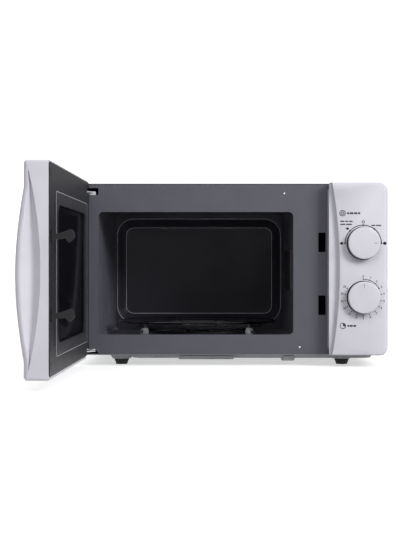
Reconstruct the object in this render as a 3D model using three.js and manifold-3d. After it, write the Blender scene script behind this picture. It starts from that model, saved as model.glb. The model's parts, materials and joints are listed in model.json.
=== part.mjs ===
// A twenty-litre microwave oven with two dials, its side-hung door standing open.
// Millimetres, +Z up. The oven's front faces -Y, and its door hangs on the left.
// Every piece is made in the oven's own frame: X = 0 half-way across, Y = 0 on the front frame's
// face, Z = 0 on the surface that the feet stand on. The last lines move the whole group so that
// its origin is the middle of the footprint of the oven and its open door.

import * as THREE from "three";
import { mergeVertices } from "three/addons/utils/BufferGeometryUtils.js";
import Module from "manifold-3d";

const wasm = await Module();
wasm.setup();

// ---- Driving dimensions ----

const GAP = 0.3; // between pieces that touch or are welded together
const RUN = 0.4; // round anything that turns or slides
const SHEET = 1; // steel sheet
const ROUND = 24; // sides of a small round piece
const OVER = 1; // cutters reach past the faces that they open by this much
const SLIVER = 0.1; // overlap that makes two forms one solid

const WIDTH = 440;
const DEPTH = 300; // front frame's face to the rear panel's outside
const FRAME_HEIGHT = 245;
const FRAME_FOOT = 17.5; // ground to the frame's lower edge
const FRAME_LAP = 12.8; // the frame runs on behind the control panel
const FRAME_FLANGE = 11; // the frame's edges turn back this far
const COVER_RADIUS = 4;
const VENT_WIDTH = 5;
const VENT_HEIGHT = 20;

const CAVITY_SIDE = 28; // cabinet's left side to the cavity
const BAY_WIDTH = 132; // component bay, from the cavity to the cabinet's right side
const CAVITY_RAISED = 20.1; // cavity floor above the frame's lower edge
const CAVITY_HEADROOM = 26.9; // cavity roof below the frame's upper edge
const CAVITY_RADIUS = 7;
const WRAP_FLANGE = 3.5; // the wrap's welding flange against the frame
const MOUTH_SILL = 8; // the mouth's lower edge above the cavity floor
const MOUTH_HEAD = 14; // and its upper edge below the cavity roof
const BACK_PRESS = 7; // how far the back's panel is pressed back
const BACK_SIDE = 2; // cavity side to the pressing
const BACK_END = 11.5; // cavity floor or roof to the pressing
const BACK_SLOPE = 15;
const BACK_CLEARANCE = 1.4; // pressing to the rear panel

const DOOR_THICKNESS = 30.4;
const DOOR_ABOVE = 2; // the shell above the inner plate
const DOOR_BELOW = 3.5; // and below it
const DOOR_STANDOFF = 0.6; // the shut door's plate from the frame
const DOOR_MARGIN = 0.7; // the door's hinge side in from the cabinet's side
const DOOR_TO_PANEL = 1.7;
const DOOR_WALL = 2.5;
const DOOR_DRAFT = 1.5; // the hinge side leans in by this much towards the front
const DOOR_OPEN_DEG = 91;
const HINGE_NOSE = 7.3; // radius of the door's hinge side round its axis
const HINGE_TOP_INSET = 12.5; // upper bracket's middle below the frame's upper edge
const HINGE_RAISED = 4.5; // lower bracket's middle above the frame's lower edge
const HINGE_PLATE = 2;
const PIN_RADIUS = 2.2;
const CHOKE_LAP = 1; // choke cover past the cavity's left side
const CHOKE_SHORT = 2; // and short of its right side
const CHOKE_RAISED = 19.5; // choke cover above the frame's lower edge
const CHOKE_HEADROOM = 30.5; // choke cover below the frame's upper edge
const CHOKE_RADIUS = 3;
const CHOKE_DEPTH = 14; // channel behind the inner plate
const CHOKE_COVER_DEPTH = 3;
const WINDOW_INSET = 15; // window opening inside the choke cover's edge
const WINDOW_RADIUS = 16;
const PANE = 2.4;
const BULGE_WIDTH = 52;
const BULGE_PROUD = 10;
const BULGE_RAISED = 17.5; // the swell's lower end above the frame's lower edge
const BULGE_HEADROOM = 29.5; // and its upper end below the frame's upper edge
const GRIP_DEPTH = 6; // scoop in the door's free edge

const SLOT_WIDTH = 10.4;
const SLOT_INSET = 1.1; // slots in from the door's free edge
const SLOT_HEIGHT = 28;
const UPPER_SLOT_BELOW = 84.5; // upper slot's middle below the frame's upper edge
const LOWER_SLOT_ABOVE = 70.2; // lower slot's middle above the frame's lower edge
const HOOK_REACH = 28; // how far a hook stands out of the door
const HOOK_HEIGHT = 15;
const HOOK_NECK = 7; // height of its stem
const HOOK_THICKNESS = 4.4;
const LATCH_TRAVEL = 4;
const LATCH_DEPTH = 28; // housing behind the frame
const SPRING_LENGTH = 20;
const SPRING_RADIUS = 2.4;
const SWITCH_DEPTH = 16;
const SWITCH_HEIGHT = 6.4;
const PLUNGER_TRAVEL = 1.5;
const PLUNGER_WIDTH = 4.8;

const PANEL_WIDTH = 82.8;
const PANEL_DEPTH = 31;
const PANEL_WALL = 2.5;
const PANEL_RADIUS = 12;
const PANEL_BEVEL = 5;
const SCOOP_END = 3.6; // scoop's width at its ends
const SCOOP_MIDDLE = 15.5; // and half-way up
const SCOOP_DEPTH = 8;
const SIDE_NOTCH = 9; // the panel's left wall stops this far from its ends
const KNOB_INSET = 35.5; // dials' axis in from the cabinet's right side
const POWER_BELOW = 86.5; // power dial's axis below the frame's upper edge
const TIMER_ABOVE = 82.1; // timer dial's axis above the frame's lower edge
const KNOB_RADIUS = 22.5;
const KNOB_HEIGHT = 14;
const KNOB_RECESS = 1.2;
const SHAFT_RADIUS = 3;
const SHAFT_GRIP = 6; // shaft inside its unit
const CAP_FACE = 5; // thickness of a knob over its shaft
const TIMER_UNIT_DEPTH = 36;
const POWER_UNIT_DEPTH = 24;

const FOOT_INSET_X = 58; // feet's axes in from the cabinet's sides
const FOOT_INSET_Y = 45; // and from its front and back
const FOOT_RADIUS = 9.5;
const FOOT_HEIGHT = 8;
const BOSS_RADIUS = 18.5; // pressed boss over each foot, at its top
const BOSS_SLOPE = 6;
const PAN_DROP = 5.5; // the base is pressed down this far
const PAN_LEFT = 72; // cabinet's left side to the pressing
const PAN_RIGHT = 14; // cabinet's right side to the pressing
const PAN_ENDS = 14; // cabinet's front and back to the pressing
const PAN_CORNER = 20;
const PAN_SLOPE = 4;

const TABLE_SHIFT = 5; // turntable's axis in front of the cabinet's middle
const TRAY_RADIUS = 122.5;
const TRAY_GLASS = 4.5;
const TRAY_RIM = 8.5;
const TRAY_SLOPE = 18.5; // width of the tray's sloping border
const ROLLER_INSET = 12; // rollers' circle inside the tray's flat base
const ROLLER_RADIUS = 6.2;
const ROLLER_WIDTH = 8;
const AXLE_RADIUS = 1.6;
const RING_WIDTH = 6;
const COUPLER_RADIUS = 17;
const STEM_RADIUS = 4; // coupler's stem
const STEM_DEPTH = 6; // and its length in the motor
const MOTOR_RADIUS = 24;

const WAVE_WINDOW_Y = 126;
const WAVE_WINDOW_LENGTH = 130;
const WAVE_WINDOW_RAISED = 101.4; // its middle above the cavity floor
const WAVE_WINDOW_HEIGHT = 46;
const MICA_LAP = 7; // the mica's border round the window
const WAVEGUIDE_DEPTH = 30;
const WAVEGUIDE_LAP = 4;
const MAGNETRON_RAISED = 57; // magnetron's axis above the window's middle
const MAGNETRON_LENGTH = 62;
const ANTENNA_RADIUS = 8;
const CORE_WIDTH = 84;
const CORE_DEPTH = 50;
const CORE_HEIGHT = 70;
const LIMB = 26; // the core's middle limb
const YOKE = 13; // its outer limbs
const CORE_INSET_X = 62; // core's middle in from the cabinet's right side
const CORE_INSET_Y = 92; // and from the rear panel
const CAN_WIDTH = 48; // capacitor
const CAN_DEPTH = 30;
const CAN_HEIGHT = 68;
const FAN_RADIUS = 46;
const FAN_DEPTH = 34;
const FAN_SHAFT = 2; // its radius
const FAN_INSET = 64; // fan's axis in from the cabinet's right side
const FAN_BELOW = 96.5; // and below the frame's upper edge
const BOARD_LENGTH = 84;
const BOARD_DEPTH = 40;
const BULB_RADIUS = 9;
const LAMP_BASE = 4.5; // its radius
const LAMP_REACH = 38; // its base from the cavity's wall
const LAMP_INSET_Y = 68; // its axis from the rear panel
const LAMP_BELOW = 47.5; // and below the frame's upper edge
const CORD_RADIUS = 6;
const GLAND_NECK = 2; // gland's wall where it passes the rear panel
const CORD_INSET = 40; // cord's outlet in from the cabinet's right side
const CORD_RAISED = 26.5; // and above the frame's lower edge

// ---- Places worked out from them ----

const left = -WIDTH / 2;
const right = WIDTH / 2;
const frameTop = FRAME_FOOT + FRAME_HEIGHT;
const frameMid = FRAME_FOOT + FRAME_HEIGHT / 2;
const cavityLeft = left + CAVITY_SIDE;
const cavityRight = right - BAY_WIDTH;
const cavityFloor = FRAME_FOOT + CAVITY_RAISED;
const cavityTop = frameTop - CAVITY_HEADROOM;
const cavityBack = DEPTH - 2 * SHEET - BACK_CLEARANCE - BACK_PRESS - GAP;
const mouthBottom = cavityFloor + MOUTH_SILL;
const mouthTop = cavityTop - MOUTH_HEAD;
const tableX = (cavityLeft + cavityRight) / 2;
const tableY = DEPTH / 2 - TABLE_SHIFT;
const trayFlat = TRAY_RADIUS - TRAY_SLOPE; // radius of the tray's flat base
const rollerCircle = trayFlat - ROLLER_INSET;
const panelLeft = right - PANEL_WIDTH;
const frameRight = panelLeft + FRAME_LAP;
const hingeX = left + DOOR_MARGIN + HINGE_NOSE;
const hingeY = -DOOR_STANDOFF - HINGE_NOSE;
const hingeTop = frameTop - HINGE_TOP_INSET;
const hingeBottom = FRAME_FOOT + HINGE_RAISED;
const doorLeft = hingeX - HINGE_NOSE;
const doorRight = panelLeft - DOOR_TO_PANEL;
const doorInside = -DOOR_STANDOFF; // the shut door's inner face
const doorOutside = doorInside - DOOR_THICKNESS;
const doorBottom = FRAME_FOOT - DOOR_BELOW;
const doorTop = frameTop + DOOR_ABOVE;
const slotRight = doorRight - SLOT_INSET;
const slotLeft = slotRight - SLOT_WIDTH;
const upperSlotZ = frameTop - UPPER_SLOT_BELOW;
const lowerSlotZ = FRAME_FOOT + LOWER_SLOT_ABOVE;
const hookX = (slotLeft + slotRight) / 2;
const hookTip = doorInside + HOOK_REACH;
const latchBack = SHEET + GAP + LATCH_DEPTH;
const plungerTip = hookTip + RUN;
const wallOutside = cavityRight + SHEET;
const rollerZ = cavityFloor + GAP + ROLLER_RADIUS;
const trayZ = rollerZ + ROLLER_RADIUS + GAP;
const knobX = right - KNOB_INSET;
const powerZ = frameTop - POWER_BELOW;
const timerZ = FRAME_FOOT + TIMER_ABOVE;
const knobBase = -PANEL_DEPTH + KNOB_RECESS - RUN;
const knobFace = knobBase - KNOB_HEIGHT;
const unitFront = -PANEL_DEPTH + PANEL_WALL + GAP;
const panInside = FRAME_FOOT - PAN_DROP;
const benchZ = panInside + SHEET + GAP; // where the heavy parts stand on the base
const motorTop = cavityFloor - SHEET - GAP;
const waveWindowZ = cavityFloor + WAVE_WINDOW_RAISED;
const guideFace = wallOutside + GAP + WAVEGUIDE_DEPTH;
const magnetronZ = waveWindowZ + MAGNETRON_RAISED;
const coreX = right - CORE_INSET_X;
const coreY = DEPTH - CORE_INSET_Y;
const canX = cavityRight + GAP + CAN_WIDTH / 2 + 3.7;
const canY = DEPTH - SHEET - CAN_DEPTH / 2 - 17;
const fanX = right - FAN_INSET;
const fanZ = frameTop - FAN_BELOW;
const fanBack = DEPTH - SHEET - GAP;
const lampY = DEPTH - LAMP_INSET_Y;
const lampZ = frameTop - LAMP_BELOW;
const cordX = right - CORD_INSET;
const cordZ = FRAME_FOOT + CORD_RAISED;

// ---- Solids: three.js geometry in, three.js geometry out ----

function toSolid(geometry) {
  const bare = geometry.index ? geometry.toNonIndexed() : geometry.clone();
  const points = new THREE.BufferGeometry();
  points.setAttribute("position", bare.getAttribute("position"));
  const merged = mergeVertices(points, 1e-4);
  const mesh = new wasm.Mesh({
    numProp: 3,
    vertProperties: new Float32Array(merged.attributes.position.array),
    triVerts: new Uint32Array(merged.index.array),
  });
  return new wasm.Manifold(mesh);
}

function toGeometry(solid) {
  const mesh = solid.getMesh();
  const geometry = new THREE.BufferGeometry();
  geometry.setAttribute("position", new THREE.BufferAttribute(mesh.vertProperties, 3));
  geometry.setIndex(new THREE.BufferAttribute(mesh.triVerts, 1));
  return geometry;
}

const combine = (way) => (first, ...others) =>
  toGeometry(others.reduce((solid, next) => solid[way](toSolid(next)), toSolid(first)));
const join = combine("add");
const cut = combine("subtract");
const meet = combine("intersect");

// ---- Outlines and blanks ----

function roundedRect(x0, y0, x1, y1, radius, steps = 5) {
  const r = Math.max(0.01, Math.min(radius, (x1 - x0) / 2 - 0.01, (y1 - y0) / 2 - 0.01));
  const corners = [
    [x1 - r, y0 + r, -90],
    [x1 - r, y1 - r, 0],
    [x0 + r, y1 - r, 90],
    [x0 + r, y0 + r, 180],
  ];
  const points = corners.flatMap(([cx, cy, from]) =>
    Array.from({ length: steps + 1 }, (_, i) => {
      const angle = THREE.MathUtils.degToRad(from + (90 * i) / steps);
      return new THREE.Vector2(cx + r * Math.cos(angle), cy + r * Math.sin(angle));
    }),
  );
  return new THREE.Shape(points);
}

const polygon = (points) => new THREE.Shape(points.map(([x, y]) => new THREE.Vector2(x, y)));

// An outline in plan, from height z0 to z1.
function slab(shape, z0, z1) {
  const geometry = new THREE.ExtrudeGeometry(shape, { depth: z1 - z0, bevelEnabled: false });
  return geometry.translate(0, 0, z0);
}

// An outline seen from the front (its x across, its y up), from y0 to y1.
function wall(shape, y0, y1) {
  const geometry = new THREE.ExtrudeGeometry(shape, { depth: y1 - y0, bevelEnabled: false });
  return geometry.rotateX(Math.PI / 2).translate(0, y1, 0);
}

// An outline seen from the right (its x backwards, its y up), from x0 to x1.
function side(shape, x0, x1) {
  const geometry = new THREE.ExtrudeGeometry(shape, { depth: x1 - x0, bevelEnabled: false });
  return geometry.rotateX(Math.PI / 2).rotateZ(Math.PI / 2).translate(x0, 0, 0);
}

function box(x0, x1, y0, y1, z0, z1) {
  const geometry = new THREE.BoxGeometry(x1 - x0, y1 - y0, z1 - z0);
  return geometry.translate((x0 + x1) / 2, (y0 + y1) / 2, (z0 + z1) / 2);
}

const rodY = (x, z, radius, y0, y1, sides = ROUND) =>
  new THREE.CylinderGeometry(radius, radius, y1 - y0, sides).translate(x, (y0 + y1) / 2, z);

const rodZ = (x, y, radius, z0, z1, sides = ROUND) =>
  new THREE.CylinderGeometry(radius, radius, z1 - z0, sides)
    .rotateX(Math.PI / 2)
    .translate(x, y, (z0 + z1) / 2);

const rodX = (y, z, radius, x0, x1, sides = ROUND) =>
  new THREE.CylinderGeometry(radius, radius, x1 - x0, sides)
    .rotateZ(Math.PI / 2)
    .translate((x0 + x1) / 2, y, z);

// A frustum pressed down from an outline, as a stamped pan or boss is.
function pressing(x0, y0, x1, y1, radius, top, drop, slope) {
  const small = roundedRect(x0 + slope, y0 + slope, x1 - slope, y1 - slope, radius - slope);
  const geometry = new THREE.ExtrudeGeometry(small, {
    depth: 0.2,
    bevelSize: slope,
    bevelThickness: drop,
    bevelSegments: 1,
  });
  const lower = geometry.translate(0, 0, top - 0.1);
  return cut(lower, box(x0 - 9, x1 + 9, y0 - 9, y1 + 9, top, top + drop + 9));
}

// A turned piece about the Z axis. The profile is [radius, height], run anticlockwise.
function turned(profile, sides = 48) {
  return new THREE.LatheGeometry(
    profile.map(([r, z]) => new THREE.Vector2(r, z)),
    sides,
  ).rotateX(Math.PI / 2);
}

// ---- Materials and the scene graph ----

function finish(color, roughness, metalness = 0, opacity = 1) {
  return { color, roughness, metalness, opacity, transparent: opacity < 1 };
}

const WHITE = finish(0xdbd9e4, 0.35);
const FRAME_GREY = finish(0x55555d, 0.45);
const ENAMEL = finish(0x222226, 0.3);
const DOOR_GREY = finish(0x302f36, 0.45);
const BLACK = finish(0x101012, 0.4);
const GLOSS_BLACK = finish(0x08080a, 0.08);
const COVER_WHITE = finish(0xe4e4e6, 0.4);
const ZINC = finish(0xaaacaf, 0.35, 0.9);
const STEEL = finish(0x8c8e92, 0.4, 0.9);
const RUBBER = finish(0x39393b, 0.8);
const GLASS = finish(0xcfe0dc, 0.05, 0, 0.4);
const CREAM = finish(0xd9d2c0, 0.6);
const COPPER = finish(0xb06a3c, 0.4, 0.8);
const MICA = finish(0xb3aa9a, 0.7);

const oven = new THREE.Group();
const door = new THREE.Group();
door.position.set(hingeX, hingeY, 0);
door.rotation.z = -THREE.MathUtils.degToRad(DOOR_OPEN_DEG);
oven.add(door);

// Adds one piece. A piece of a turned group is moved so that the group's origin is its pivot.
function add(group, name, geometry, look) {
  const placed = geometry.index ? geometry.toNonIndexed() : geometry.clone();
  placed.deleteAttribute("uv");
  placed.translate(-group.position.x, -group.position.y, -group.position.z);
  placed.computeVertexNormals();
  const mesh = new THREE.Mesh(placed, new THREE.MeshStandardMaterial(look));
  mesh.name = name;
  group.add(mesh);
}

// ---- Sheet-metal box ----

function frontFrame() {
  const face = wall(roundedRect(left, FRAME_FOOT, frameRight, frameTop, 2, 2), 0, SHEET);
  const inset = SHEET + GAP;
  const room = inset + SHEET;
  const far = frameRight + BAY_WIDTH; // the flange is made longer, and cut back to the frame's end
  const outer = roundedRect(left + inset, FRAME_FOOT + inset, far, frameTop - inset, 3, 3);
  const inner = roundedRect(left + room, FRAME_FOOT + room, far + OVER, frameTop - room, 2, 3);
  const ring = cut(wall(outer, 0, FRAME_FLANGE), wall(inner, SHEET, FRAME_FLANGE + OVER));
  const excess = box(frameRight, far + 2 * OVER, -OVER, FRAME_FLANGE + OVER, 0, frameTop);
  const flange = cut(ring, excess);
  const mouth = roundedRect(cavityLeft, mouthBottom, cavityRight, mouthTop, CAVITY_RADIUS);
  const slots = [upperSlotZ, lowerSlotZ].map((z) =>
    box(slotLeft, slotRight, -OVER, SHEET + OVER, z - SLOT_HEIGHT / 2, z + SLOT_HEIGHT / 2),
  );
  const hingeSlot = box(hingeX + 4, hingeX + 20, -OVER, SHEET + OVER, hingeTop - 4, hingeTop + 6);
  const corner = polygon([
    [left - OVER, FRAME_FOOT - OVER],
    [hingeX + 22, FRAME_FOOT - OVER],
    [hingeX + 15, FRAME_FOOT + 8],
    [left - OVER, FRAME_FOOT + 8],
  ]);
  const cornerCut = wall(corner, -OVER, FRAME_FLANGE + OVER);
  const mouthCut = wall(mouth, -OVER, SHEET + OVER);
  return cut(join(face, flange), mouthCut, ...slots, hingeSlot, cornerCut);
}

// The cavity's cross-section, grown by this much all round.
const cavityOutline = (grow) =>
  roundedRect(
    cavityLeft - grow,
    cavityFloor - grow,
    cavityRight + grow,
    cavityTop + grow,
    CAVITY_RADIUS + grow,
  );

function cavityWrap() {
  const front = SHEET + GAP;
  const flange = wall(cavityOutline(WRAP_FLANGE), front, front + SHEET);
  const tube = join(wall(cavityOutline(SHEET), front, cavityBack), flange);
  const hollow = wall(cavityOutline(0), front - OVER, cavityBack + OVER);
  const halfLength = WAVE_WINDOW_LENGTH / 2;
  const halfHeight = WAVE_WINDOW_HEIGHT / 2;
  const window = box(
    cavityRight - 2 * SHEET,
    cavityRight + 2 * SHEET,
    WAVE_WINDOW_Y - halfLength,
    WAVE_WINDOW_Y + halfLength,
    waveWindowZ - halfHeight,
    waveWindowZ + halfHeight,
  );
  const shaftHole = rodZ(tableX, tableY, STEM_RADIUS + 2, cavityFloor - 2 * SHEET, cavityFloor + OVER);
  return cut(tube, hollow, window, shaftHole);
}

// The back is one pressed sheet: a rim, a slanted step and a flat panel further back.
function pressedBack() {
  const y0 = cavityBack + GAP;
  const rim = wall(cavityOutline(2 * SHEET + WRAP_FLANGE), y0, y0 + SHEET);
  const pressed = (grow, y) => {
    const small = roundedRect(
      cavityLeft + BACK_SIDE + BACK_SLOPE - grow,
      cavityFloor + BACK_END + BACK_SLOPE - grow,
      cavityRight - BACK_SIDE - BACK_SLOPE + grow,
      cavityTop - BACK_END - BACK_SLOPE + grow,
      WINDOW_RADIUS - 2,
    );
    const geometry = new THREE.ExtrudeGeometry(small, {
      depth: 2 * SLIVER,
      bevelSize: BACK_SLOPE,
      bevelThickness: BACK_PRESS,
      bevelSegments: 1,
    });
    return geometry.rotateX(Math.PI / 2).translate(0, y + SLIVER, 0);
  };
  const ahead = box(left, right, y0 - 4 * BACK_PRESS, y0, 0, frameTop);
  const outside = cut(join(rim, pressed(GAP, y0 + SHEET)), ahead);
  return cut(outside, pressed(0, y0));
}

function outerCover() {
  const y0 = SHEET + GAP;
  const y1 = DEPTH - SHEET - GAP;
  const r = COVER_RADIUS;
  const outer = roundedRect(left, FRAME_FOOT, right, frameTop, r, 4);
  const inner = roundedRect(left + SHEET, -2 * r, right - SHEET, frameTop - SHEET, r - SHEET, 4);
  const shell = cut(wall(outer, y0, y1), wall(inner, y0 - OVER, y1 + OVER));
  const vents = [];
  for (let row = 0; row < 3; row += 1) {
    for (let i = 0; i < 7; i += 1) {
      const y = DEPTH / 5 + i * 2.8 * VENT_WIDTH;
      const z = frameTop - 72.5 - row * 1.5 * VENT_HEIGHT;
      vents.push(box(right - 2 * SHEET, right + OVER, y, y + VENT_WIDTH, z, z + VENT_HEIGHT));
    }
  }
  return cut(shell, ...vents);
}

function rearPanel() {
  const y0 = DEPTH - SHEET;
  const sheet = wall(roundedRect(left, FRAME_FOOT, right, frameTop, COVER_RADIUS, 4), y0, DEPTH);
  const slot = (x0, x1, z0, z1) => box(x0, x1, y0 - OVER, DEPTH + OVER, z0, z1);
  const slots = [];
  const pitch = FAN_RADIUS / 5.75;
  for (let i = -5; i <= 5; i += 1) {
    const half = Math.sqrt(FAN_RADIUS ** 2 - (i * pitch) ** 2) - 3;
    const z = fanZ + i * pitch;
    slots.push(slot(fanX - half, fanX + half, z - pitch / 4, z + pitch / 4));
  }
  for (let i = 0; i < 8; i += 1) {
    const x = left + CAVITY_SIDE + 2 + i * 9;
    slots.push(slot(x, x + 4, FRAME_FOOT + 42.5, FRAME_FOOT + 72.5));
  }
  const outlet = rodY(cordX, cordZ, CORD_RADIUS + GLAND_NECK + GAP, y0 - OVER, DEPTH + OVER);
  return cut(sheet, ...slots, outlet);
}

const footPlaces = [FOOT_INSET_Y, DEPTH - FOOT_INSET_Y].flatMap((y) =>
  [left + FOOT_INSET_X, right - FOOT_INSET_X].map((x) => [x, y]),
);

// The base has a shallow pan under the heavy parts, two stiffening pads and a boss for each foot.
function basePlate() {
  const blank = (grow) => {
    const x0 = left + PAN_LEFT - grow;
    const x1 = right - PAN_RIGHT + grow;
    const y0 = PAN_ENDS - grow;
    const y1 = DEPTH - PAN_ENDS + grow;
    const pan = pressing(x0, y0, x1, y1, PAN_CORNER, FRAME_FOOT - SLIVER, PAN_DROP + grow, PAN_SLOPE);
    const low = FOOT_HEIGHT + GAP + SHEET - grow;
    const bosses = footPlaces.map(([x, y]) => {
      const r = BOSS_RADIUS + grow;
      const cone = new THREE.CylinderGeometry(r, r - BOSS_SLOPE, FRAME_FOOT - low, ROUND);
      return cone.rotateX(Math.PI / 2).translate(x, y, (FRAME_FOOT + low) / 2);
    });
    return join(pan, ...bosses, ...pads(grow));
  };
  const top = FRAME_FOOT - GAP;
  const margin = SHEET + GAP;
  const outline = roundedRect(left + margin, margin, right - margin, DEPTH - margin, COVER_RADIUS, 3);
  const sheet = slab(outline, top - SHEET, top);
  const above = box(left, right, -DEPTH, 2 * DEPTH, top, frameTop);
  return cut(join(sheet, cut(blank(SHEET), above)), blank(0));
}

// Pads along the front of the base: a broad one before the turntable's motor and a small one
// between it and the right foot.
function pads(grow) {
  const y0 = PAN_ENDS - grow;
  const pad = (x, half, drop, corner) =>
    pressing(x - half - grow, y0, x + half + grow, y0 + 30, corner, panInside + 2, drop + grow, 2);
  const broad = pad((tableX + guideFace) / 2 - 71, 40.5, 4, 6);
  const small = pad(cavityRight - 6.5, 10, 6, 8);
  return [broad, small];
}

function foot() {
  const r = FOOT_RADIUS;
  return turned([[0, 0], [r - 1, 0], [r, 1], [r + 1, FOOT_HEIGHT], [0, FOOT_HEIGHT]], 20);
}

// ---- Cooking chamber fittings ----

const rollerAngles = [90, 210, 330].map(THREE.MathUtils.degToRad);

function rollerRing() {
  const outer = rollerCircle - ROLLER_WIDTH / 2 - RUN;
  const inner = outer - RING_WIDTH;
  const low = rollerZ - 2;
  const high = rollerZ + 2;
  const ring = turned([[inner, low], [outer, low], [outer, high], [inner, high], [inner, low]], 60);
  const tip = rollerCircle + ROLLER_WIDTH / 2 + 1.5;
  const axles = rollerAngles.map((angle) =>
    rodX(0, rollerZ, AXLE_RADIUS, outer - RING_WIDTH / 3, tip, 12).rotateZ(angle),
  );
  return join(ring, ...axles).translate(tableX, tableY, 0);
}

function roller(angle) {
  const tyre = rodX(0, 0, ROLLER_RADIUS, -ROLLER_WIDTH / 2, ROLLER_WIDTH / 2, 28);
  const bored = cut(tyre, rodX(0, 0, AXLE_RADIUS + RUN, -ROLLER_WIDTH, ROLLER_WIDTH, 12));
  return bored.translate(rollerCircle, 0, rollerZ).rotateZ(angle).translate(tableX, tableY, 0);
}

function glassTray() {
  const z = trayZ;
  const r = TRAY_RADIUS;
  const rim = z + TRAY_RIM;
  const tray = turned(
    [
      [0, z],
      [trayFlat, z],
      [r - 2, rim - 2],
      [r, rim],
      [r - 0.6, rim + 1.2],
      [r - 3.4, rim + 0.6],
      [trayFlat - 2, z + TRAY_GLASS],
      [0, z + TRAY_GLASS],
    ],
    72,
  );
  return tray.translate(tableX, tableY, 0);
}

// Three lobes on the hub turn the tray by the lugs on its underside.
function driveCoupler() {
  const z0 = cavityFloor + RUN;
  const z1 = trayZ - GAP;
  const hub = rodZ(0, 0, COUPLER_RADIUS * 0.55, z0, z1);
  const lobes = [90, 210, 330].map((deg) =>
    box(0, COUPLER_RADIUS, -5, 5, z0 + 3, z1).rotateZ(THREE.MathUtils.degToRad(deg)),
  );
  const stem = rodZ(0, 0, STEM_RADIUS, motorTop - STEM_DEPTH, z0 + 1, 16);
  return join(hub, ...lobes, stem).translate(tableX, tableY, 0);
}

function turntableMotor() {
  const can = rodZ(tableX, tableY, MOTOR_RADIUS, benchZ, motorTop, 32);
  const reach = MOTOR_RADIUS + 8;
  const ears = box(tableX - reach, tableX + reach, tableY - 6, tableY + 6, motorTop - 1.5, motorTop);
  const low = motorTop - STEM_DEPTH - RUN;
  const socket = rodZ(tableX, tableY, STEM_RADIUS + RUN, low, motorTop + OVER, 16);
  return cut(join(can, ears), socket);
}

function micaCover() {
  const half = WAVE_WINDOW_LENGTH / 2 + MICA_LAP;
  const tall = WAVE_WINDOW_HEIGHT / 2 + MICA_LAP;
  const outline = roundedRect(
    WAVE_WINDOW_Y - half,
    waveWindowZ - tall,
    WAVE_WINDOW_Y + half,
    waveWindowZ + tall,
    4,
    3,
  );
  return side(outline, cavityRight - GAP - 0.8, cavityRight - GAP);
}

function waveguide() {
  const x0 = wallOutside + GAP;
  const y0 = WAVE_WINDOW_Y - WAVE_WINDOW_LENGTH / 2 - WAVEGUIDE_LAP;
  const y1 = WAVE_WINDOW_Y + WAVE_WINDOW_LENGTH / 2 + WAVEGUIDE_LAP;
  const windowLow = waveWindowZ - WAVE_WINDOW_HEIGHT / 2;
  const windowHigh = waveWindowZ + WAVE_WINDOW_HEIGHT / 2;
  const z0 = windowLow - WAVEGUIDE_LAP;
  const z1 = magnetronZ + 34;
  const t = SHEET;
  const outer = box(x0, guideFace, y0, y1, z0, z1);
  const inner = box(x0 + t, guideFace - t, y0 + t, y1 - t, z0 + t, z1 - t);
  const lap = WAVEGUIDE_LAP;
  const mouth = box(x0 - OVER, x0 + t + OVER, y0 + lap, y1 - lap, windowLow, windowHigh);
  const antenna = rodX(WAVE_WINDOW_Y, magnetronZ, ANTENNA_RADIUS + 3, guideFace - t - OVER, guideFace + OVER);
  return cut(outer, inner, mouth, antenna);
}

function magnetron() {
  const x0 = guideFace + GAP;
  const x1 = x0 + MAGNETRON_LENGTH;
  const y = WAVE_WINDOW_Y;
  const z = magnetronZ;
  const frame = box(x0, x1, y - 42, y + 42, z - 35, z + 35);
  const yoke = cut(frame, box(x0 + 3, x1 - 3, y - 50, y + 50, z - 32, z + 32));
  const anode = rodX(y, z, 19, x0, x1, 28);
  const fins = Array.from({ length: 6 }, (_, i) => {
    const x = x0 + 9 + (i * MAGNETRON_LENGTH) / 8;
    return box(x, x + 1, y - 38, y + 38, z - 33, z + 33);
  });
  const antenna = rodX(y, z, ANTENNA_RADIUS, x0 - 19, x0 + 2, 20);
  const filter = box(x1 - 2, x1 + 20, y - 26, y + 26, z - 25, z + 25);
  return join(yoke, anode, ...fins, antenna, filter);
}

function thermalCutout() {
  const x = guideFace + GAP + MAGNETRON_LENGTH / 3;
  const z0 = magnetronZ + 35 + GAP;
  const disc = rodZ(x, WAVE_WINDOW_Y, 8, z0, z0 + 7, 20);
  const tabs = box(x - 2, x + 2, WAVE_WINDOW_Y - 11, WAVE_WINDOW_Y + 11, z0 + 3, z0 + 10);
  return join(disc, tabs);
}

// ---- High-voltage supply ----

function transformerCore() {
  const y0 = coreY - CORE_DEPTH / 2;
  const y1 = coreY + CORE_DEPTH / 2;
  const top = benchZ + CORE_HEIGHT;
  const block = box(coreX - CORE_WIDTH / 2, coreX + CORE_WIDTH / 2, y0, y1, benchZ, top);
  const windows = [-1, 1].map((way) => {
    const near = coreX + (way * LIMB) / 2;
    const far = coreX + way * (CORE_WIDTH / 2 - YOKE);
    const [x0, x1] = [Math.min(near, far), Math.max(near, far)];
    return box(x0, x1, y0 - OVER, y1 + OVER, benchZ + YOKE, top - YOKE);
  });
  return cut(block, ...windows);
}

// The windings lie one above the other round the middle limb; level 0 is the lower one.
function winding(level) {
  const tall = (CORE_HEIGHT - 2 * YOKE - 3 * GAP) / 2;
  const z0 = benchZ + YOKE + GAP + level * (tall + GAP);
  const inX = LIMB / 2 + GAP;
  const inY = CORE_DEPTH / 2 + GAP;
  const thick = CORE_WIDTH / 2 - YOKE - GAP - inX;
  const around = (grow, radius, steps) => {
    const x = inX + grow;
    const y = inY + grow;
    return roundedRect(coreX - x, coreY - y, coreX + x, coreY + y, radius, steps);
  };
  return cut(slab(around(thick, 8, 5), z0, z0 + tall), slab(around(0, GAP, 1), z0 - OVER, z0 + tall + OVER));
}

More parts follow.
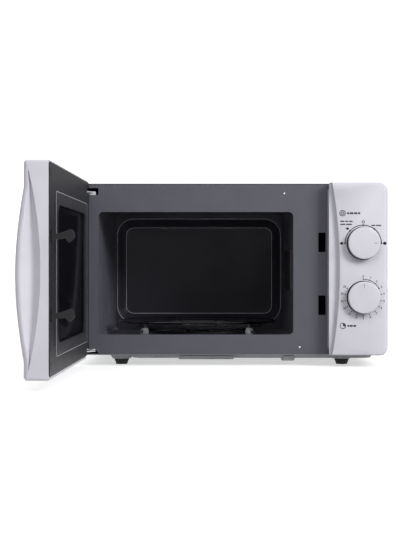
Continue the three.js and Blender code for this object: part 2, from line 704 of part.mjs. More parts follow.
// The capacitor's outline, grown by this much.
const canOutline = (grow) =>
  roundedRect(
    canX - CAN_WIDTH / 2 - grow,
    canY - CAN_DEPTH / 2 - grow,
    canX + CAN_WIDTH / 2 + grow,
    canY + CAN_DEPTH / 2 + grow,
    CAN_DEPTH / 2 + grow,
    6,
  );

function capacitor() {
  const top = benchZ + CAN_HEIGHT;
  const tabs = [-9, 9].map((x) => box(canX + x - 3, canX + x + 3, canY - 1, canY + 1, top - 8, top + 10));
  return join(slab(canOutline(0), benchZ, top), ...tabs);
}

function capacitorClamp() {
  const z0 = benchZ + CAN_HEIGHT / 3;
  const z1 = z0 + 12;
  const band = cut(slab(canOutline(GAP + SHEET), z0, z1), slab(canOutline(GAP), z0 - OVER, z1 + OVER));
  const side0 = canX + CAN_WIDTH / 2 + GAP;
  const ear = box(side0, side0 + 15.7, canY - 6, canY - 5, benchZ, z1);
  return join(band, ear);
}

const diode = () => rodX(canY, benchZ + CAN_HEIGHT + 16, 4, canX - 12, canX + 8, 16);

function fanShroud() {
  const y0 = fanBack - FAN_DEPTH;
  const r = FAN_RADIUS + 4;
  const plate = box(fanX - r - 4, fanX + r + 4, fanBack - 2, fanBack, fanZ - r - 4, fanZ + r + 4);
  const tube = rodY(fanX, fanZ, r, y0 + 10, fanBack, 48);
  const bore = rodY(fanX, fanZ, r - 2, y0 + 2.2, fanBack + OVER, 48);
  const bar = box(fanX - r + 1, fanX + r - 1, y0, y0 + 2, fanZ - 7, fanZ + 7);
  const posts = [-1, 1].map((way) => {
    const x = fanX + way * (r - 3);
    return box(x - 2, x + 2, y0, y0 + 12, fanZ - 7, fanZ + 7);
  });
  const shaft = rodY(fanX, fanZ, FAN_SHAFT + 2, y0 - OVER, y0 + 3, 16);
  return cut(join(cut(join(plate, tube), bore), bar, ...posts), shaft);
}


function fanMotor() {
  const y1 = fanBack - FAN_DEPTH - GAP;
  const stack = box(fanX - 30, fanX + 30, y1 - 18, y1, fanZ - 22, fanZ + 22);
  const coil = box(fanX - 16, fanX + 16, y1 - 24, y1 - 0.5, fanZ - 40, fanZ - 20);
  return cut(join(stack, coil), rodY(fanX, fanZ, FAN_SHAFT + RUN, y1 - 12, y1 + OVER, 16));
}

function fanBlade() {
  const y0 = fanBack - FAN_DEPTH + 12;
  const hub = rodY(0, 0, 11, y0, y0 + 15, 20);
  const shaft = rodY(0, 0, FAN_SHAFT, y0 - 20, y0 + 2, 12);
  const pitch = THREE.MathUtils.degToRad(32);
  const blades = Array.from({ length: 5 }, (_, i) => {
    const blade = box(-9, 9, -0.8, 0.8, 8, FAN_RADIUS - 2).rotateZ(pitch);
    return blade.translate(0, y0 + 7.5, 0).rotateY((i * 2 * Math.PI) / 5);
  });
  return join(hub, shaft, ...blades).translate(fanX, 0, fanZ);
}

// The mains filter hangs from its board, above the dials' units.
function filterBoard() {
  const x0 = right - 24 - BOARD_LENGTH;
  const y0 = 20;
  const z = frameTop - 18.5;
  const board = box(x0, x0 + BOARD_LENGTH, y0, y0 + BOARD_DEPTH, z, z + 2);
  const choke = rodZ(x0 + 22, y0 + BOARD_DEPTH / 2, 12, z - 14, z + 1, ROUND);
  const cap = box(x0 + 40, x0 + 64, y0 + 12, y0 + 28, z - 16, z + 1);
  const fuse = box(x0 + 70, x0 + 80, y0 + 6, y0 + 34, z - 7, z + 1);
  return join(board, choke, cap, fuse);
}

function lamp() {
  const r = BULB_RADIUS;
  const bulb = turned([[0, 0], [LAMP_BASE, 0], [LAMP_BASE, 9], [r, 16], [r, 24], [r - 3, 29], [0, 31]], 20);
  return bulb.rotateY(-Math.PI / 2).translate(wallOutside + LAMP_REACH, lampY, lampZ);
}

function lampHousing() {
  const x0 = wallOutside + GAP;
  const x1 = x0 + LAMP_REACH + 6;
  const half = BULB_RADIUS + 3;
  const w = 3;
  const outer = box(x0, x1, lampY - half - w - 2, lampY + half + w + 2, lampZ - half - w, lampZ + half + w);
  const inner = box(x0 - OVER, x1 - 7.4, lampY - half - 2, lampY + half + 2, lampZ - half, lampZ + half);
  const socket = rodX(lampY, lampZ, LAMP_BASE + GAP, x1 - 14, x1 + OVER, 20);
  return cut(outer, inner, socket);
}

function cordGland() {
  const r = CORD_RADIUS;
  const neck = r + GLAND_NECK;
  const ring = turned(
    [[r, 0], [r + 5, 0], [r + 5, 5], [neck, 5], [neck, 8], [r + 4, 8], [r + 4, 12], [r, 12], [r, 0]],
    24,
  );
  return ring.rotateX(-Math.PI / 2).translate(cordX, DEPTH - SHEET - 6 - GAP, cordZ);
}

// ---- Interlock ----

function latchHousing() {
  const y0 = SHEET + GAP;
  const reach = SLOT_HEIGHT / 2 + 12;
  const wallX = slotLeft - 16;
  const block = box(wallX, slotRight + 3, y0, latchBack, lowerSlotZ - reach, upperSlotZ + reach);
  const pockets = [upperSlotZ, lowerSlotZ].map((z) => {
    const half = SLOT_HEIGHT / 2 + 2;
    return box(slotLeft - 1, slotRight + 1, y0 - OVER, latchBack + OVER, z - half, z + half);
  });
  const lighten = (x1, z0, z1) => box(wallX + 3, x1, y0 + 3, latchBack + OVER, z0, z1);
  const middle = lighten(slotRight, lowerSlotZ + reach - 6, upperSlotZ - reach + 6);
  const lower = lighten(slotLeft - 4, lowerSlotZ - reach + 3, lowerSlotZ + reach - 10);
  const upper = lighten(slotLeft - 4, upperSlotZ - reach + 10, upperSlotZ + reach - 3);
  return cut(block, ...pockets, middle, lower, upper);
}

function switchBody(z) {
  const y0 = latchBack + GAP;
  const y1 = y0 + SWITCH_DEPTH;
  const half = SWITCH_HEIGHT / 2;
  const body = box(hookX - 18, hookX + 9.5, y0, y1, z - half, z + half);
  const wellX = PLUNGER_WIDTH / 2 + GAP;
  const well = box(hookX - wellX, hookX + wellX, y0 - OVER, y0 + 4 + PLUNGER_TRAVEL, z - 1.6, z + 1.6);
  const tabs = [-14, -5, 4].map((x) => box(hookX + x, hookX + x + 5, y1 - 1, y1 + 8, z - 0.4, z + 0.4));
  return cut(join(body, ...tabs), well);
}

function plunger(z) {
  const half = PLUNGER_WIDTH / 2;
  return box(hookX - half, hookX + half, plungerTip, latchBack + GAP + 3, z - 1.3, z + 1.3);
}

// ---- Hinges ----

// A bracket comes out of the frame's slot and carries the pin that the door turns on.
function hingeBracket(z, way) {
  const half = HINGE_PLATE / 2;
  const arm = polygon([
    [hingeX - 3.5, hingeY - 3.5],
    [hingeX + 3.5, hingeY - 3.5],
    [hingeX + 12, -2],
    [hingeX + 16, -2],
    [hingeX + 16, 16],
    [hingeX + 5, 16],
    [hingeX + 5, -2],
    [hingeX - 3.5, hingeY + 3],
  ]);
  const foldZ = z + way * 16;
  const [low, high] = [Math.min(z, foldZ) - half, Math.max(z, foldZ) + half];
  const y0 = SHEET + GAP;
  const fold = box(hingeX + 5, hingeX + 16, y0, y0 + HINGE_PLATE, low, high);
  const pinEnds = [z - way * HINGE_PLATE, z + way * 8.5];
  const pin = rodZ(hingeX, hingeY, PIN_RADIUS, Math.min(...pinEnds), Math.max(...pinEnds), 20);
  return join(slab(arm, z - half, z + half), fold, pin);
}

const hinges = [[hingeTop, -1], [hingeBottom, 1]];

// ---- Door, modelled shut and turned about its hinge axis ----

const plateFront = doorInside - SHEET; // the plate's face inside the door
const plateLeft = hingeX - HINGE_NOSE / 3; // its edge clears the frame as the door turns
const shellInside = plateFront - GAP;
const chokeLeft = cavityLeft - CHOKE_LAP;
const chokeRight = cavityRight - CHOKE_SHORT;
const chokeBottom = FRAME_FOOT + CHOKE_RAISED;
const chokeTop = frameTop - CHOKE_HEADROOM;

// The door's plan outline, from its inner face to its outer face.
function doorPlan(inner, outer) {
  const points = [];
  for (let i = 0; i <= 6; i += 1) {
    const angle = Math.PI / 2 + (Math.PI / 2) * (i / 6);
    const y = Math.min(hingeY + HINGE_NOSE * Math.sin(angle), inner);
    points.push([hingeX + HINGE_NOSE * Math.cos(angle), y]);
  }
  points.push([doorLeft + DOOR_DRAFT, outer + 3]);
  points.push([doorLeft + DOOR_DRAFT + 3, outer]);
  points.push([doorRight - 6, outer]);
  points.push([doorRight - 1.5, outer + 2]);
  points.push([doorRight, outer + 6]);
  points.push([doorRight, inner]);
  return polygon(points);
}

// The choke cover's outline, and the window's inside it, grown by this much.
const chokeOutline = (grow) =>
  roundedRect(
    chokeLeft - grow,
    chokeBottom - grow,
    chokeRight + grow,
    chokeTop + grow,
    CHOKE_RADIUS + grow,
    3,
  );
const doorWindow = (grow) =>
  roundedRect(
    chokeLeft + WINDOW_INSET - grow,
    chokeBottom + WINDOW_INSET - grow,
    chokeRight - WINDOW_INSET + grow,
    chokeTop - WINDOW_INSET + grow,
    WINDOW_RADIUS + grow,
  );

// Room round a bracket as the door swings, open to the door's inner face and hinge side.
const bracketRoom = (z, tall) => {
  const room = polygon([
    [doorLeft - 9, hingeY - 8.5],
    [hingeX + 9, hingeY - 8.5],
    [hingeX + 22, hingeY + 2],
    [hingeX + 22, 9],
    [doorLeft - 9, 9],
  ]);
  return slab(room, z - tall, z + tall);
};

const barEnd = HOOK_HEIGHT / 2 + 8; // the latch bar runs on past its hooks
const springY = shellInside - SPRING_RADIUS - 0.8;
const springStart = upperSlotZ + barEnd + GAP + 0.5;

// A swell over the outer face that is tallest at the free edge.
function doorBulge() {
  const z0 = FRAME_FOOT + BULGE_RAISED;
  const z1 = frameTop - BULGE_HEADROOM;
  const tall = [];
  for (let i = 0; i <= 16; i += 1) {
    const t = i / 16;
    tall.push([doorOutside - BULGE_PROUD * Math.sin(Math.PI * t) ** 0.8, z0 + (z1 - z0) * t]);
  }
  tall.push([doorOutside + 1, z1], [doorOutside + 1, z0]);
  const profile = [[doorRight - BULGE_WIDTH, doorOutside + 1]];
  for (let i = 0; i <= 8; i += 1) {
    const t = i / 8;
    const x = doorRight - BULGE_WIDTH + (BULGE_WIDTH - 5) * t;
    profile.push([x, doorOutside - BULGE_PROUD * Math.sin((Math.PI / 2) * t) ** 2]);
  }
  profile.push([doorRight - 1.5, doorOutside - BULGE_PROUD + 4], [doorRight - 1.5, doorOutside + 1]);
  const across = slab(polygon(profile.reverse()), doorBottom, doorTop);
  return meet(side(polygon(tall.reverse()), doorRight - BULGE_WIDTH, doorRight), across);
}

// The finger scoop: concave in plan, bounded by an arc from top to bottom of the free edge.
function gripCut() {
  const deep = doorInside - 9;
  const shallow = doorOutside + 4;
  const rim = doorOutside - 5;
  const edge = [];
  for (let i = 0; i <= 16; i += 1) {
    const t = i / 16;
    const y = shallow + (deep - shallow) * Math.sin(Math.PI * t);
    edge.push([y, doorBottom + (doorTop - doorBottom) * t]);
  }
  edge.push([doorOutside - BULGE_PROUD, doorTop + OVER], [doorOutside - BULGE_PROUD, doorBottom - OVER]);
  const region = side(polygon(edge.reverse()), doorRight - 3 * GRIP_DEPTH, doorRight + GRIP_DEPTH);
  const plan = [[doorRight + OVER, deep + 1]];
  for (let i = 0; i <= 8; i += 1) {
    const t = i / 8;
    plan.push([doorRight - GRIP_DEPTH * Math.cos((Math.PI / 2) * t), deep + (rim - deep) * t]);
  }
  plan.push([doorRight + OVER, rim]);
  return meet(region, slab(polygon(plan), doorBottom - OVER, doorTop + OVER));
}

function doorShell() {
  const body = slab(doorPlan(shellInside, doorOutside), doorBottom, doorTop);
  const hollow = box(
    doorLeft + DOOR_WALL + DOOR_DRAFT,
    doorRight - DOOR_WALL - GRIP_DEPTH,
    doorOutside + DOOR_WALL,
    shellInside + OVER,
    FRAME_FOOT + DOOR_WALL,
    frameTop - DOOR_WALL,
  );
  const window = wall(doorWindow(0), doorOutside - OVER, doorOutside + DOOR_WALL + OVER);
  const rooms = hinges.map(([z]) => bracketRoom(z, 11));
  const channel = box(
    hookX - 6,
    hookX + 4,
    springY - SPRING_RADIUS - 1,
    shellInside + OVER,
    lowerSlotZ - barEnd - 1.5,
    springStart + SPRING_LENGTH + 0.5 + GAP,
  );
  return cut(join(body, doorBulge()), hollow, window, channel, gripCut(), ...rooms);
}

function doorOuterWindow() {
  const ledge = doorOutside + DOOR_WALL + GAP;
  const pane = wall(doorWindow(-GAP), doorOutside + 0.6, ledge);
  const back = wall(doorWindow(5 - GAP), ledge, ledge + PANE);
  return join(pane, back);
}

function doorPlate() {
  const outline = roundedRect(plateLeft, FRAME_FOOT, doorRight - 1, frameTop, 5, 4);
  const sheet = wall(outline, plateFront, doorInside);
  const channel = cut(
    wall(chokeOutline(2), plateFront - CHOKE_DEPTH, plateFront + SLIVER),
    wall(chokeOutline(2 - SHEET), plateFront - CHOKE_DEPTH - OVER, plateFront + OVER),
  );
  const opening = wall(chokeOutline(GAP), plateFront - OVER, doorInside + OVER);
  const slots = [upperSlotZ, lowerSlotZ].map((z) => {
    const high = z + HOOK_NECK / 2 + LATCH_TRAVEL + RUN;
    return box(hookX - 4, hookX + 4, plateFront - OVER, doorInside + OVER, z - HOOK_NECK, high);
  });
  const rooms = hinges.map(([z]) => bracketRoom(z, 5));
  const lugs = hinges.map(([z, way]) => {
    const low = Math.min(z + way * 5.4, z + way * 7.4);
    const lug = polygon([
      [hingeX - 5, hingeY - 5],
      [hingeX + 18, hingeY - 5],
      [hingeX + 18, doorInside],
      [plateLeft, doorInside],
      [hingeX - 5, hingeY + 3],
    ]);
    const eye = rodZ(hingeX, hingeY, PIN_RADIUS + RUN, low - OVER, low + HINGE_PLATE + OVER, 20);
    return cut(slab(lug, low, low + HINGE_PLATE), eye);
  });
  return join(cut(join(sheet, channel), opening, ...slots, ...rooms), ...lugs);
}

// The dark frame that covers the choke channel and holds the inner pane behind it.
function chokeCover() {
  const y0 = doorInside - CHOKE_COVER_DEPTH;
  return cut(wall(chokeOutline(0), y0, doorInside), wall(doorWindow(0), y0 - OVER, doorInside + OVER));
}

const paneFront = doorInside - CHOKE_COVER_DEPTH - GAP;
const innerPane = () => wall(doorWindow(WINDOW_INSET - 5), paneFront - PANE, paneFront);
const doorScreen = () => {
  const y = paneFront - PANE - GAP;
  return wall(doorWindow(WINDOW_INSET - 3), y - SHEET, y);
};

// A sliding bar with two hooks; each hook's head stands above and below its neck.
function latchBar() {
  const y1 = shellInside;
  const bar = box(hookX - 5, hookX + 3, y1 - 4, y1, lowerSlotZ - barEnd, upperSlotZ + barEnd);
  const hooks = [upperSlotZ, lowerSlotZ].map((z) => {
    const h = HOOK_HEIGHT / 2;
    const n = HOOK_NECK / 2;
    const outline = polygon([
      [y1 - 1, z - n - 2],
      [hookTip - 12, z - n + 1],
      [hookTip - 9, z - n + 1],
      [hookTip - 8, z - h],
      [hookTip - 5, z - h],
      [hookTip - 1, z - h + 4],
      [hookTip, z - h + 8],
      [hookTip - 1, z + h - 3],
      [hookTip - 4, z + h - 0.6],
      [hookTip - 7, z + h],
      [hookTip - 11, z + n + 2],
      [y1 - 1, z + n - 2],
    ]);
    return side(outline, hookX - HOOK_THICKNESS / 2, hookX + HOOK_THICKNESS / 2);
  });
  return join(bar, ...hooks);
}

function latchSpring() {
  const turns = 7;
  const curve = new THREE.CatmullRomCurve3(
    Array.from({ length: turns * 8 + 1 }, (_, i) => {
      const angle = (i / 8) * 2 * Math.PI;
      const z = springStart + (SPRING_LENGTH * i) / (turns * 8);
      return new THREE.Vector3(SPRING_RADIUS * Math.cos(angle), SPRING_RADIUS * Math.sin(angle), z);
    }),
  );
  const circle = new THREE.Shape().absarc(0, 0, 0.5, 0, 2 * Math.PI, false);
  const wire = new THREE.ExtrudeGeometry(circle, {
    steps: turns * 10,
    curveSegments: 6,
    extrudePath: curve,
  });
  return wire.translate(hookX - 1, springY, 0);
}

// ---- Control panel and dials ----

function scoopEdge(z) {
  const share = 1 - ((z - frameMid) / (FRAME_HEIGHT / 2)) ** 2;
  return panelLeft + SCOOP_END + (SCOOP_MIDDLE - SCOOP_END) * share;
}

// The panel's outside: bevelled all round, then squared off again on the left.
function panelBlank() {
  const b = PANEL_BEVEL;
  const squareY = -PANEL_DEPTH + b;
  const outline = roundedRect(panelLeft, FRAME_FOOT, right, frameTop, PANEL_RADIUS, 6);
  const face = roundedRect(
    panelLeft + b,
    FRAME_FOOT + b,
    right - b,
    frameTop - b,
    PANEL_RADIUS - b,
    6,
  );
  const bevelled = new THREE.ExtrudeGeometry(face, {
    depth: 1,
    bevelSize: b,
    bevelThickness: b,
    bevelSegments: 4,
  });
  bevelled.rotateX(Math.PI / 2).translate(0, squareY + 1, 0);
  const crown = cut(bevelled, box(left, right + b, squareY, b, 0, frameTop + b));
  const squareLeft = roundedRect(panelLeft, FRAME_FOOT, right - PANEL_WIDTH / 3, frameTop, 2, 2);
  return join(
    wall(outline, squareY - SLIVER, -GAP),
    crown,
    wall(squareLeft, -PANEL_DEPTH, -GAP),
  );
}

function controlPanel() {
  const w = PANEL_WALL;
  const front = -PANEL_DEPTH + w;
  const low = FRAME_FOOT + w;
  const high = frameTop - w;
  const hollow = box(panelLeft + SCOOP_MIDDLE + w, right - w, front, OVER, low, high);
  const leftHollow = box(panelLeft + w, right - w, front + SCOOP_DEPTH, OVER, low, high);
  const arc = [];
  for (let i = 0; i <= 16; i += 1) {
    const z = FRAME_FOOT + (FRAME_HEIGHT * i) / 16;
    arc.push([scoopEdge(z), z]);
  }
  arc.push([panelLeft - OVER, frameTop + OVER], [panelLeft - OVER, FRAME_FOOT - OVER]);
  const scoop = wall(polygon(arc), -PANEL_DEPTH - OVER, -PANEL_DEPTH + SCOOP_DEPTH);
  const notches = [FRAME_FOOT - OVER, frameTop - SIDE_NOTCH].map((z) =>
    box(panelLeft - OVER, panelLeft + w + OVER, front + SCOOP_DEPTH, OVER, z, z + SIDE_NOTCH + OVER),
  );
  const wells = [powerZ, timerZ].flatMap((z) => [
    rodY(knobX, z, KNOB_RADIUS + 1, -PANEL_DEPTH - OVER, -PANEL_DEPTH + KNOB_RECESS, 48),
    rodY(knobX, z, SHAFT_RADIUS + 2, -PANEL_DEPTH - OVER, 0),
  ]);
  return cut(panelBlank(), hollow, leftHollow, scoop, ...notches, ...wells);
}

function dialUnit(z, half, depth) {
  const front = unitFront;
  const body = box(knobX - half, knobX + half, front, front + depth, z - half, z + half);
  const tabs = [-1, 1].map((way) => {
    const x = knobX + way * half;
    return box(x - 3, x + 3, front, front + 2, z - 6, z + 6);
  });
  const bore = rodY(knobX, z, SHAFT_RADIUS + RUN, front - OVER, front + SHAFT_GRIP + RUN);
  return cut(join(body, ...tabs), bore);
}

const dialShaft = (z) => rodY(knobX, z, SHAFT_RADIUS, knobFace + CAP_FACE, unitFront + SHAFT_GRIP);

// A dial knob: a low round body with a rounded rim, bored for its shaft.
function knob(z) {
  const r = KNOB_RADIUS;
  const h = KNOB_HEIGHT;
  const rim = [[r, 2], [r, h - 2.4], [r - 0.7, h - 0.7], [r - 2.4, h]];
  const skirt = turned([[0, 0], [r, 0], ...rim, [0, h]], 48);
  const bore = rodZ(0, 0, SHAFT_RADIUS + GAP, -OVER, h - CAP_FACE + GAP);
  return cut(skirt, bore).rotateX(Math.PI / 2).translate(knobX, knobBase, z);
}

function timerBell() {
  const outside = [[2, 0], [6, 0], [15, 2.2], [19, 6], [20, 10]];
  const inside = [[19, 10], [18, 6.6], [14.4, 3.4], [6, 1.2], [2, 1.2], [2, 0]];
  const dome = turned([...outside, ...inside], 28);
  const y = unitFront + TIMER_UNIT_DEPTH + GAP + 10.5;
  return dome.rotateX(Math.PI / 2).translate(knobX, y, timerZ);
}

// ---- Assembly ----

add(oven, "front_frame", frontFrame(), FRAME_GREY);
add(oven, "cavity_wrap", cavityWrap(), ENAMEL);
add(oven, "cavity_back", pressedBack(), ENAMEL);
add(oven, "outer_cover", outerCover(), COVER_WHITE);
add(oven, "rear_panel", rearPanel(), ZINC);
add(oven, "base_plate", basePlate(), ZINC);
["front_left", "front_right", "rear_left", "rear_right"].forEach((place, i) => {
  const [x, y] = footPlaces[i];
  add(oven, `foot_${place}`, foot().translate(x, y, 0), RUBBER);
});

add(oven, "waveguide_cover", micaCover(), MICA);
add(oven, "waveguide", waveguide(), ZINC);
add(oven, "magnetron", magnetron(), STEEL);
add(oven, "thermal_cutout", thermalCutout(), BLACK);
add(oven, "transformer_core", transformerCore(), STEEL);
add(oven, "transformer_secondary", winding(0), COPPER);
add(oven, "transformer_primary", winding(1), COPPER);
add(oven, "capacitor", capacitor(), ZINC);
add(oven, "capacitor_clamp", capacitorClamp(), STEEL);
add(oven, "diode", diode(), BLACK);
add(oven, "fan_shroud", fanShroud(), BLACK);
add(oven, "fan_motor", fanMotor(), STEEL);
add(oven, "fan_blade", fanBlade(), BLACK);
add(oven, "filter_board", filterBoard(), CREAM);
add(oven, "lamp", lamp(), GLASS);
add(oven, "lamp_housing", lampHousing(), CREAM);
add(oven, "cord_gland", cordGland(), BLACK);

add(oven, "turntable_motor", turntableMotor(), ZINC);
add(oven, "drive_coupler", driveCoupler(), BLACK);
add(oven, "glass_tray", glassTray(), GLASS);
add(oven, "roller_ring", rollerRing(), BLACK);
rollerAngles.forEach((angle, i) => add(oven, `roller_${i + 1}`, roller(angle), WHITE));

add(oven, "latch_housing", latchHousing(), BLACK);
const halfPitch = SWITCH_HEIGHT / 2 + 1.3; // the two lower switches lie one above the other
const switches = {
  primary: upperSlotZ,
  monitor: lowerSlotZ + halfPitch,
  secondary: lowerSlotZ - halfPitch,
};
Object.entries(switches).forEach(([name, z]) => {
  add(oven, `${name}_switch`, switchBody(z), BLACK);
  add(oven, `${name}_plunger`, plunger(z), BLACK);
});

add(oven, "hinge_bracket_upper", hingeBracket(...hinges[0]), ZINC);
add(oven, "hinge_bracket_lower", hingeBracket(...hinges[1]), ZINC);

add(oven, "control_panel", controlPanel(), WHITE);
add(oven, "power_selector", dialUnit(powerZ, 20, POWER_UNIT_DEPTH), CREAM);
add(oven, "timer_unit", dialUnit(timerZ, 25, TIMER_UNIT_DEPTH), CREAM);
add(oven, "timer_bell", timerBell(), ZINC);
add(oven, "power_shaft", dialShaft(powerZ), ZINC);
add(oven, "timer_shaft", dialShaft(timerZ), ZINC);
add(oven, "power_knob", knob(powerZ), WHITE);
add(oven, "timer_knob", knob(timerZ), WHITE);

add(door, "door_shell", doorShell(), WHITE);
add(door, "door_window", doorOuterWindow(), GLOSS_BLACK);
add(door, "door_plate", doorPlate(), DOOR_GREY);
add(door, "choke_cover", chokeCover(), BLACK);
add(door, "inner_pane", innerPane(), GLOSS_BLACK);
add(door, "door_screen", doorScreen(), BLACK);
add(door, "latch_bar", latchBar(), BLACK);
add(door, "latch_spring", latchSpring(), STEEL);

// The middle of the whole footprint, with the door open, becomes the origin.
const part = new THREE.Group();
part.add(oven);
part.updateMatrixWorld(true);
const middle = new THREE.Box3().setFromObject(oven, true).getCenter(new THREE.Vector3());
oven.position.set(-middle.x, -middle.y, 0);

export default part;
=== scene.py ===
"""A twenty-litre microwave oven with two dials, its side-hung door standing open."""

import json
from math import cos, pi, radians, sin, sqrt

import bmesh
import bpy
from mathutils import Matrix, Vector

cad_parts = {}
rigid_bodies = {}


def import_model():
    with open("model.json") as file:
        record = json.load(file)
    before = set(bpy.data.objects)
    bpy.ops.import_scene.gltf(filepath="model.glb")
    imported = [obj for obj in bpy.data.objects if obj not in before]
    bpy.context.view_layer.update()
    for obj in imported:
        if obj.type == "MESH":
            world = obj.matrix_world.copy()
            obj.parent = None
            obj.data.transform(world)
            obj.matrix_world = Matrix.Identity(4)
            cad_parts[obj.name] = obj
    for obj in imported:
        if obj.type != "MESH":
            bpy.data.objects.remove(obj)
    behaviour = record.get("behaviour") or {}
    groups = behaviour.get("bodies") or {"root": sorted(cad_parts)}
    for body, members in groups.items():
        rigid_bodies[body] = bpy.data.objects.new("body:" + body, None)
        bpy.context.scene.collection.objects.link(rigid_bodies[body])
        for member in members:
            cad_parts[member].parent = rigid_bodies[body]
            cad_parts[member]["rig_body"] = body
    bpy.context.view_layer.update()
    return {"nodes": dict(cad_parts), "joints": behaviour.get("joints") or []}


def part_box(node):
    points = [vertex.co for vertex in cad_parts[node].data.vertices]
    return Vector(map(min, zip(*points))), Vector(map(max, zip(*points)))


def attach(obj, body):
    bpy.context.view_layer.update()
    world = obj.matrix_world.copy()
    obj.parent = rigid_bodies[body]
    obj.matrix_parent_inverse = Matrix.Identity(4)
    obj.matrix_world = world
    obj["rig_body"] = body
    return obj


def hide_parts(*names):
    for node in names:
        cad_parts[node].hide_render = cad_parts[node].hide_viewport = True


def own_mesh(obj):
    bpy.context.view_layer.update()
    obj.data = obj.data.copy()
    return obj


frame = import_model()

# ---- Places: the oven's own millimetres, X = 0 half-way across, Y = 0 on the front frame's face ----

MM = 0.001
DOOR_BODIES = ("door", "latch")

joints = {joint["name"]: joint for joint in frame["joints"]}
cabinet_low, cabinet_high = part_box("outer_cover")
ORIGIN = Vector(((cabinet_low.x + cabinet_high.x) / 2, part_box("front_frame")[0].y, 0))
HOME = Matrix.Translation(ORIGIN) @ Matrix.Scale(MM, 4)

pivot = Vector(joints["door_hinge"]["pos_m"])
swing = max(joints["door_hinge"]["range_deg"])
OPENED = Matrix.Translation(pivot) @ Matrix.Rotation(radians(-swing), 4, "Z") @ Matrix.Translation(-pivot)


def pose_of(body):
    """From millimetres, with the door as if shut, to the place of a piece of that body at rest."""
    return OPENED @ HOME if body in DOOR_BODIES else HOME


def spot(node):
    """A CAD piece's lowest and highest corners in millimetres, with the door as if shut."""
    obj = frame["nodes"][node]
    back = pose_of(obj["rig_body"]).inverted()
    points = [back @ vertex.co for vertex in obj.data.vertices]
    low = Vector(min(p[k] for p in points) for k in range(3))
    high = Vector(max(p[k] for p in points) for k in range(3))
    return low, high


def centre(node):
    low, high = spot(node)
    return (low + high) / 2


face_low, face_high = spot("front_frame")
panel_low, panel_high = spot("control_panel")
shell_low, shell_high = spot("door_shell")
cover_low, cover_high = spot("outer_cover")
wrap_low, wrap_high = spot("cavity_wrap")
back_low, back_high = spot("cavity_back")
rear_low, rear_high = spot("rear_panel")
choke_low, choke_high = spot("choke_cover")

SHEET = 1
left, right = cover_low.x, cover_high.x
frame_foot, frame_top = face_low.z, face_high.z
middle_z = (frame_foot + frame_top) / 2
panel_face = panel_low.y
hinge_x, hinge_y = (HOME.inverted() @ pivot).xy

# ---- Meshes in millimetres ----


def arc(cx, cy, radius, start, end, steps):
    """Points along an arc, its angles in degrees."""
    angles = [radians(start + (end - start) * i / steps) for i in range(steps + 1)]
    return [(cx + radius * cos(a), cy + radius * sin(a)) for a in angles]


def rounded(x0, z0, x1, z1, radius, steps=8):
    """A rounded rectangle. Four radii go anticlockwise from the lower right corner."""
    r = radius if isinstance(radius, tuple) else (radius,) * 4
    return (
        arc(x1 - r[0], z0 + r[0], r[0], -90, 0, steps)
        + arc(x1 - r[1], z1 - r[1], r[1], 0, 90, steps)
        + arc(x0 + r[2], z1 - r[2], r[2], 90, 180, steps)
        + arc(x0 + r[3], z0 + r[3], r[3], 180, 270, steps)
    )


def disc(cx, cz, radius, steps=48):
    return arc(cx, cz, radius, 0, 360, steps)[:-1]


def loft(sections, ring=False):
    """A closed mesh through sections of equally many points, capped unless it is a ring."""
    form = bmesh.new()
    rows = [[form.verts.new(point) for point in section] for section in sections]
    pairs = list(zip(rows, rows[1:])) + ([(rows[-1], rows[0])] if ring else [])
    count = len(rows[0])
    for low, high in pairs:
        for i in range(count):
            j = (i + 1) % count
            form.faces.new((low[i], low[j], high[j], high[i]))
    if not ring:
        form.faces.new(rows[0])
        form.faces.new(rows[-1])
    bmesh.ops.remove_doubles(form, verts=form.verts, dist=1e-4)
    bmesh.ops.recalc_face_normals(form, faces=form.faces)
    return made(form)


def made(form):
    mesh = bpy.data.meshes.new("form")
    form.to_mesh(mesh)
    form.free()
    return mesh


def upright(points, y):
    """An outline seen from the front, standing at this depth."""
    return [(x, y, z) for x, z in points]


def front(points, y0, y1):
    """An outline seen from the front, from y0 back to y1."""
    return loft([upright(points, y) for y in (y0, y1)])


def plan(points, z0, z1):
    """An outline seen from above, from z0 up to z1."""
    return loft([[(x, y, z) for x, y in points] for z in (z0, z1)])


def profile(points, x0, x1):
    """An outline seen from the side, its points (y, z), from x0 to x1."""
    return loft([[(x, y, z) for y, z in points] for x in (x0, x1)])


def rolled(outer, inner, y0, y1):
    """Sheet that follows two outlines seen from the front, one outside the other, from y0 to y1."""
    return loft([[(a, y0, b), (a, y1, b), (c, y1, d), (c, y0, d)] for (a, b), (c, d) in zip(outer, inner)])


def block(x0, x1, y0, y1, z0, z1):
    return plan([(x0, y0), (x1, y0), (x1, y1), (x0, y1)], z0, z1)


def turned(points, steps=96, ring=False):
    """A piece turned about Z. Its points are (radius, height); a ring's outline is closed."""
    sections = [
        [(r * cos(a), r * sin(a), h) for r, h in points]
        for a in (2 * pi * i / steps for i in range(steps))
    ]
    if ring:
        return loft(sections, ring=True)
    form = bmesh.new()
    rows = [[form.verts.new(point) for point in section] for section in sections]
    for low, high in zip(rows, rows[1:] + rows[:1]):
        for i in range(len(points) - 1):
            form.faces.new((low[i], high[i], high[i + 1], low[i + 1]))
    bmesh.ops.remove_doubles(form, verts=form.verts, dist=1e-4)
    bmesh.ops.dissolve_degenerate(form, dist=1e-5, edges=form.edges)
    bmesh.ops.recalc_face_normals(form, faces=form.faces)
    return made(form)


def moved(mesh, x=0, y=0, z=0, turn=None):
    """The mesh turned, and then moved."""
    mesh.transform(Matrix.Translation((x, y, z)) @ (turn or Matrix.Identity(4)))
    return mesh


FORWARD = Matrix.Rotation(pi / 2, 4, "X")  # what stood along +Z points along -Y
BACKWARD = Matrix.Rotation(-pi / 2, 4, "X")


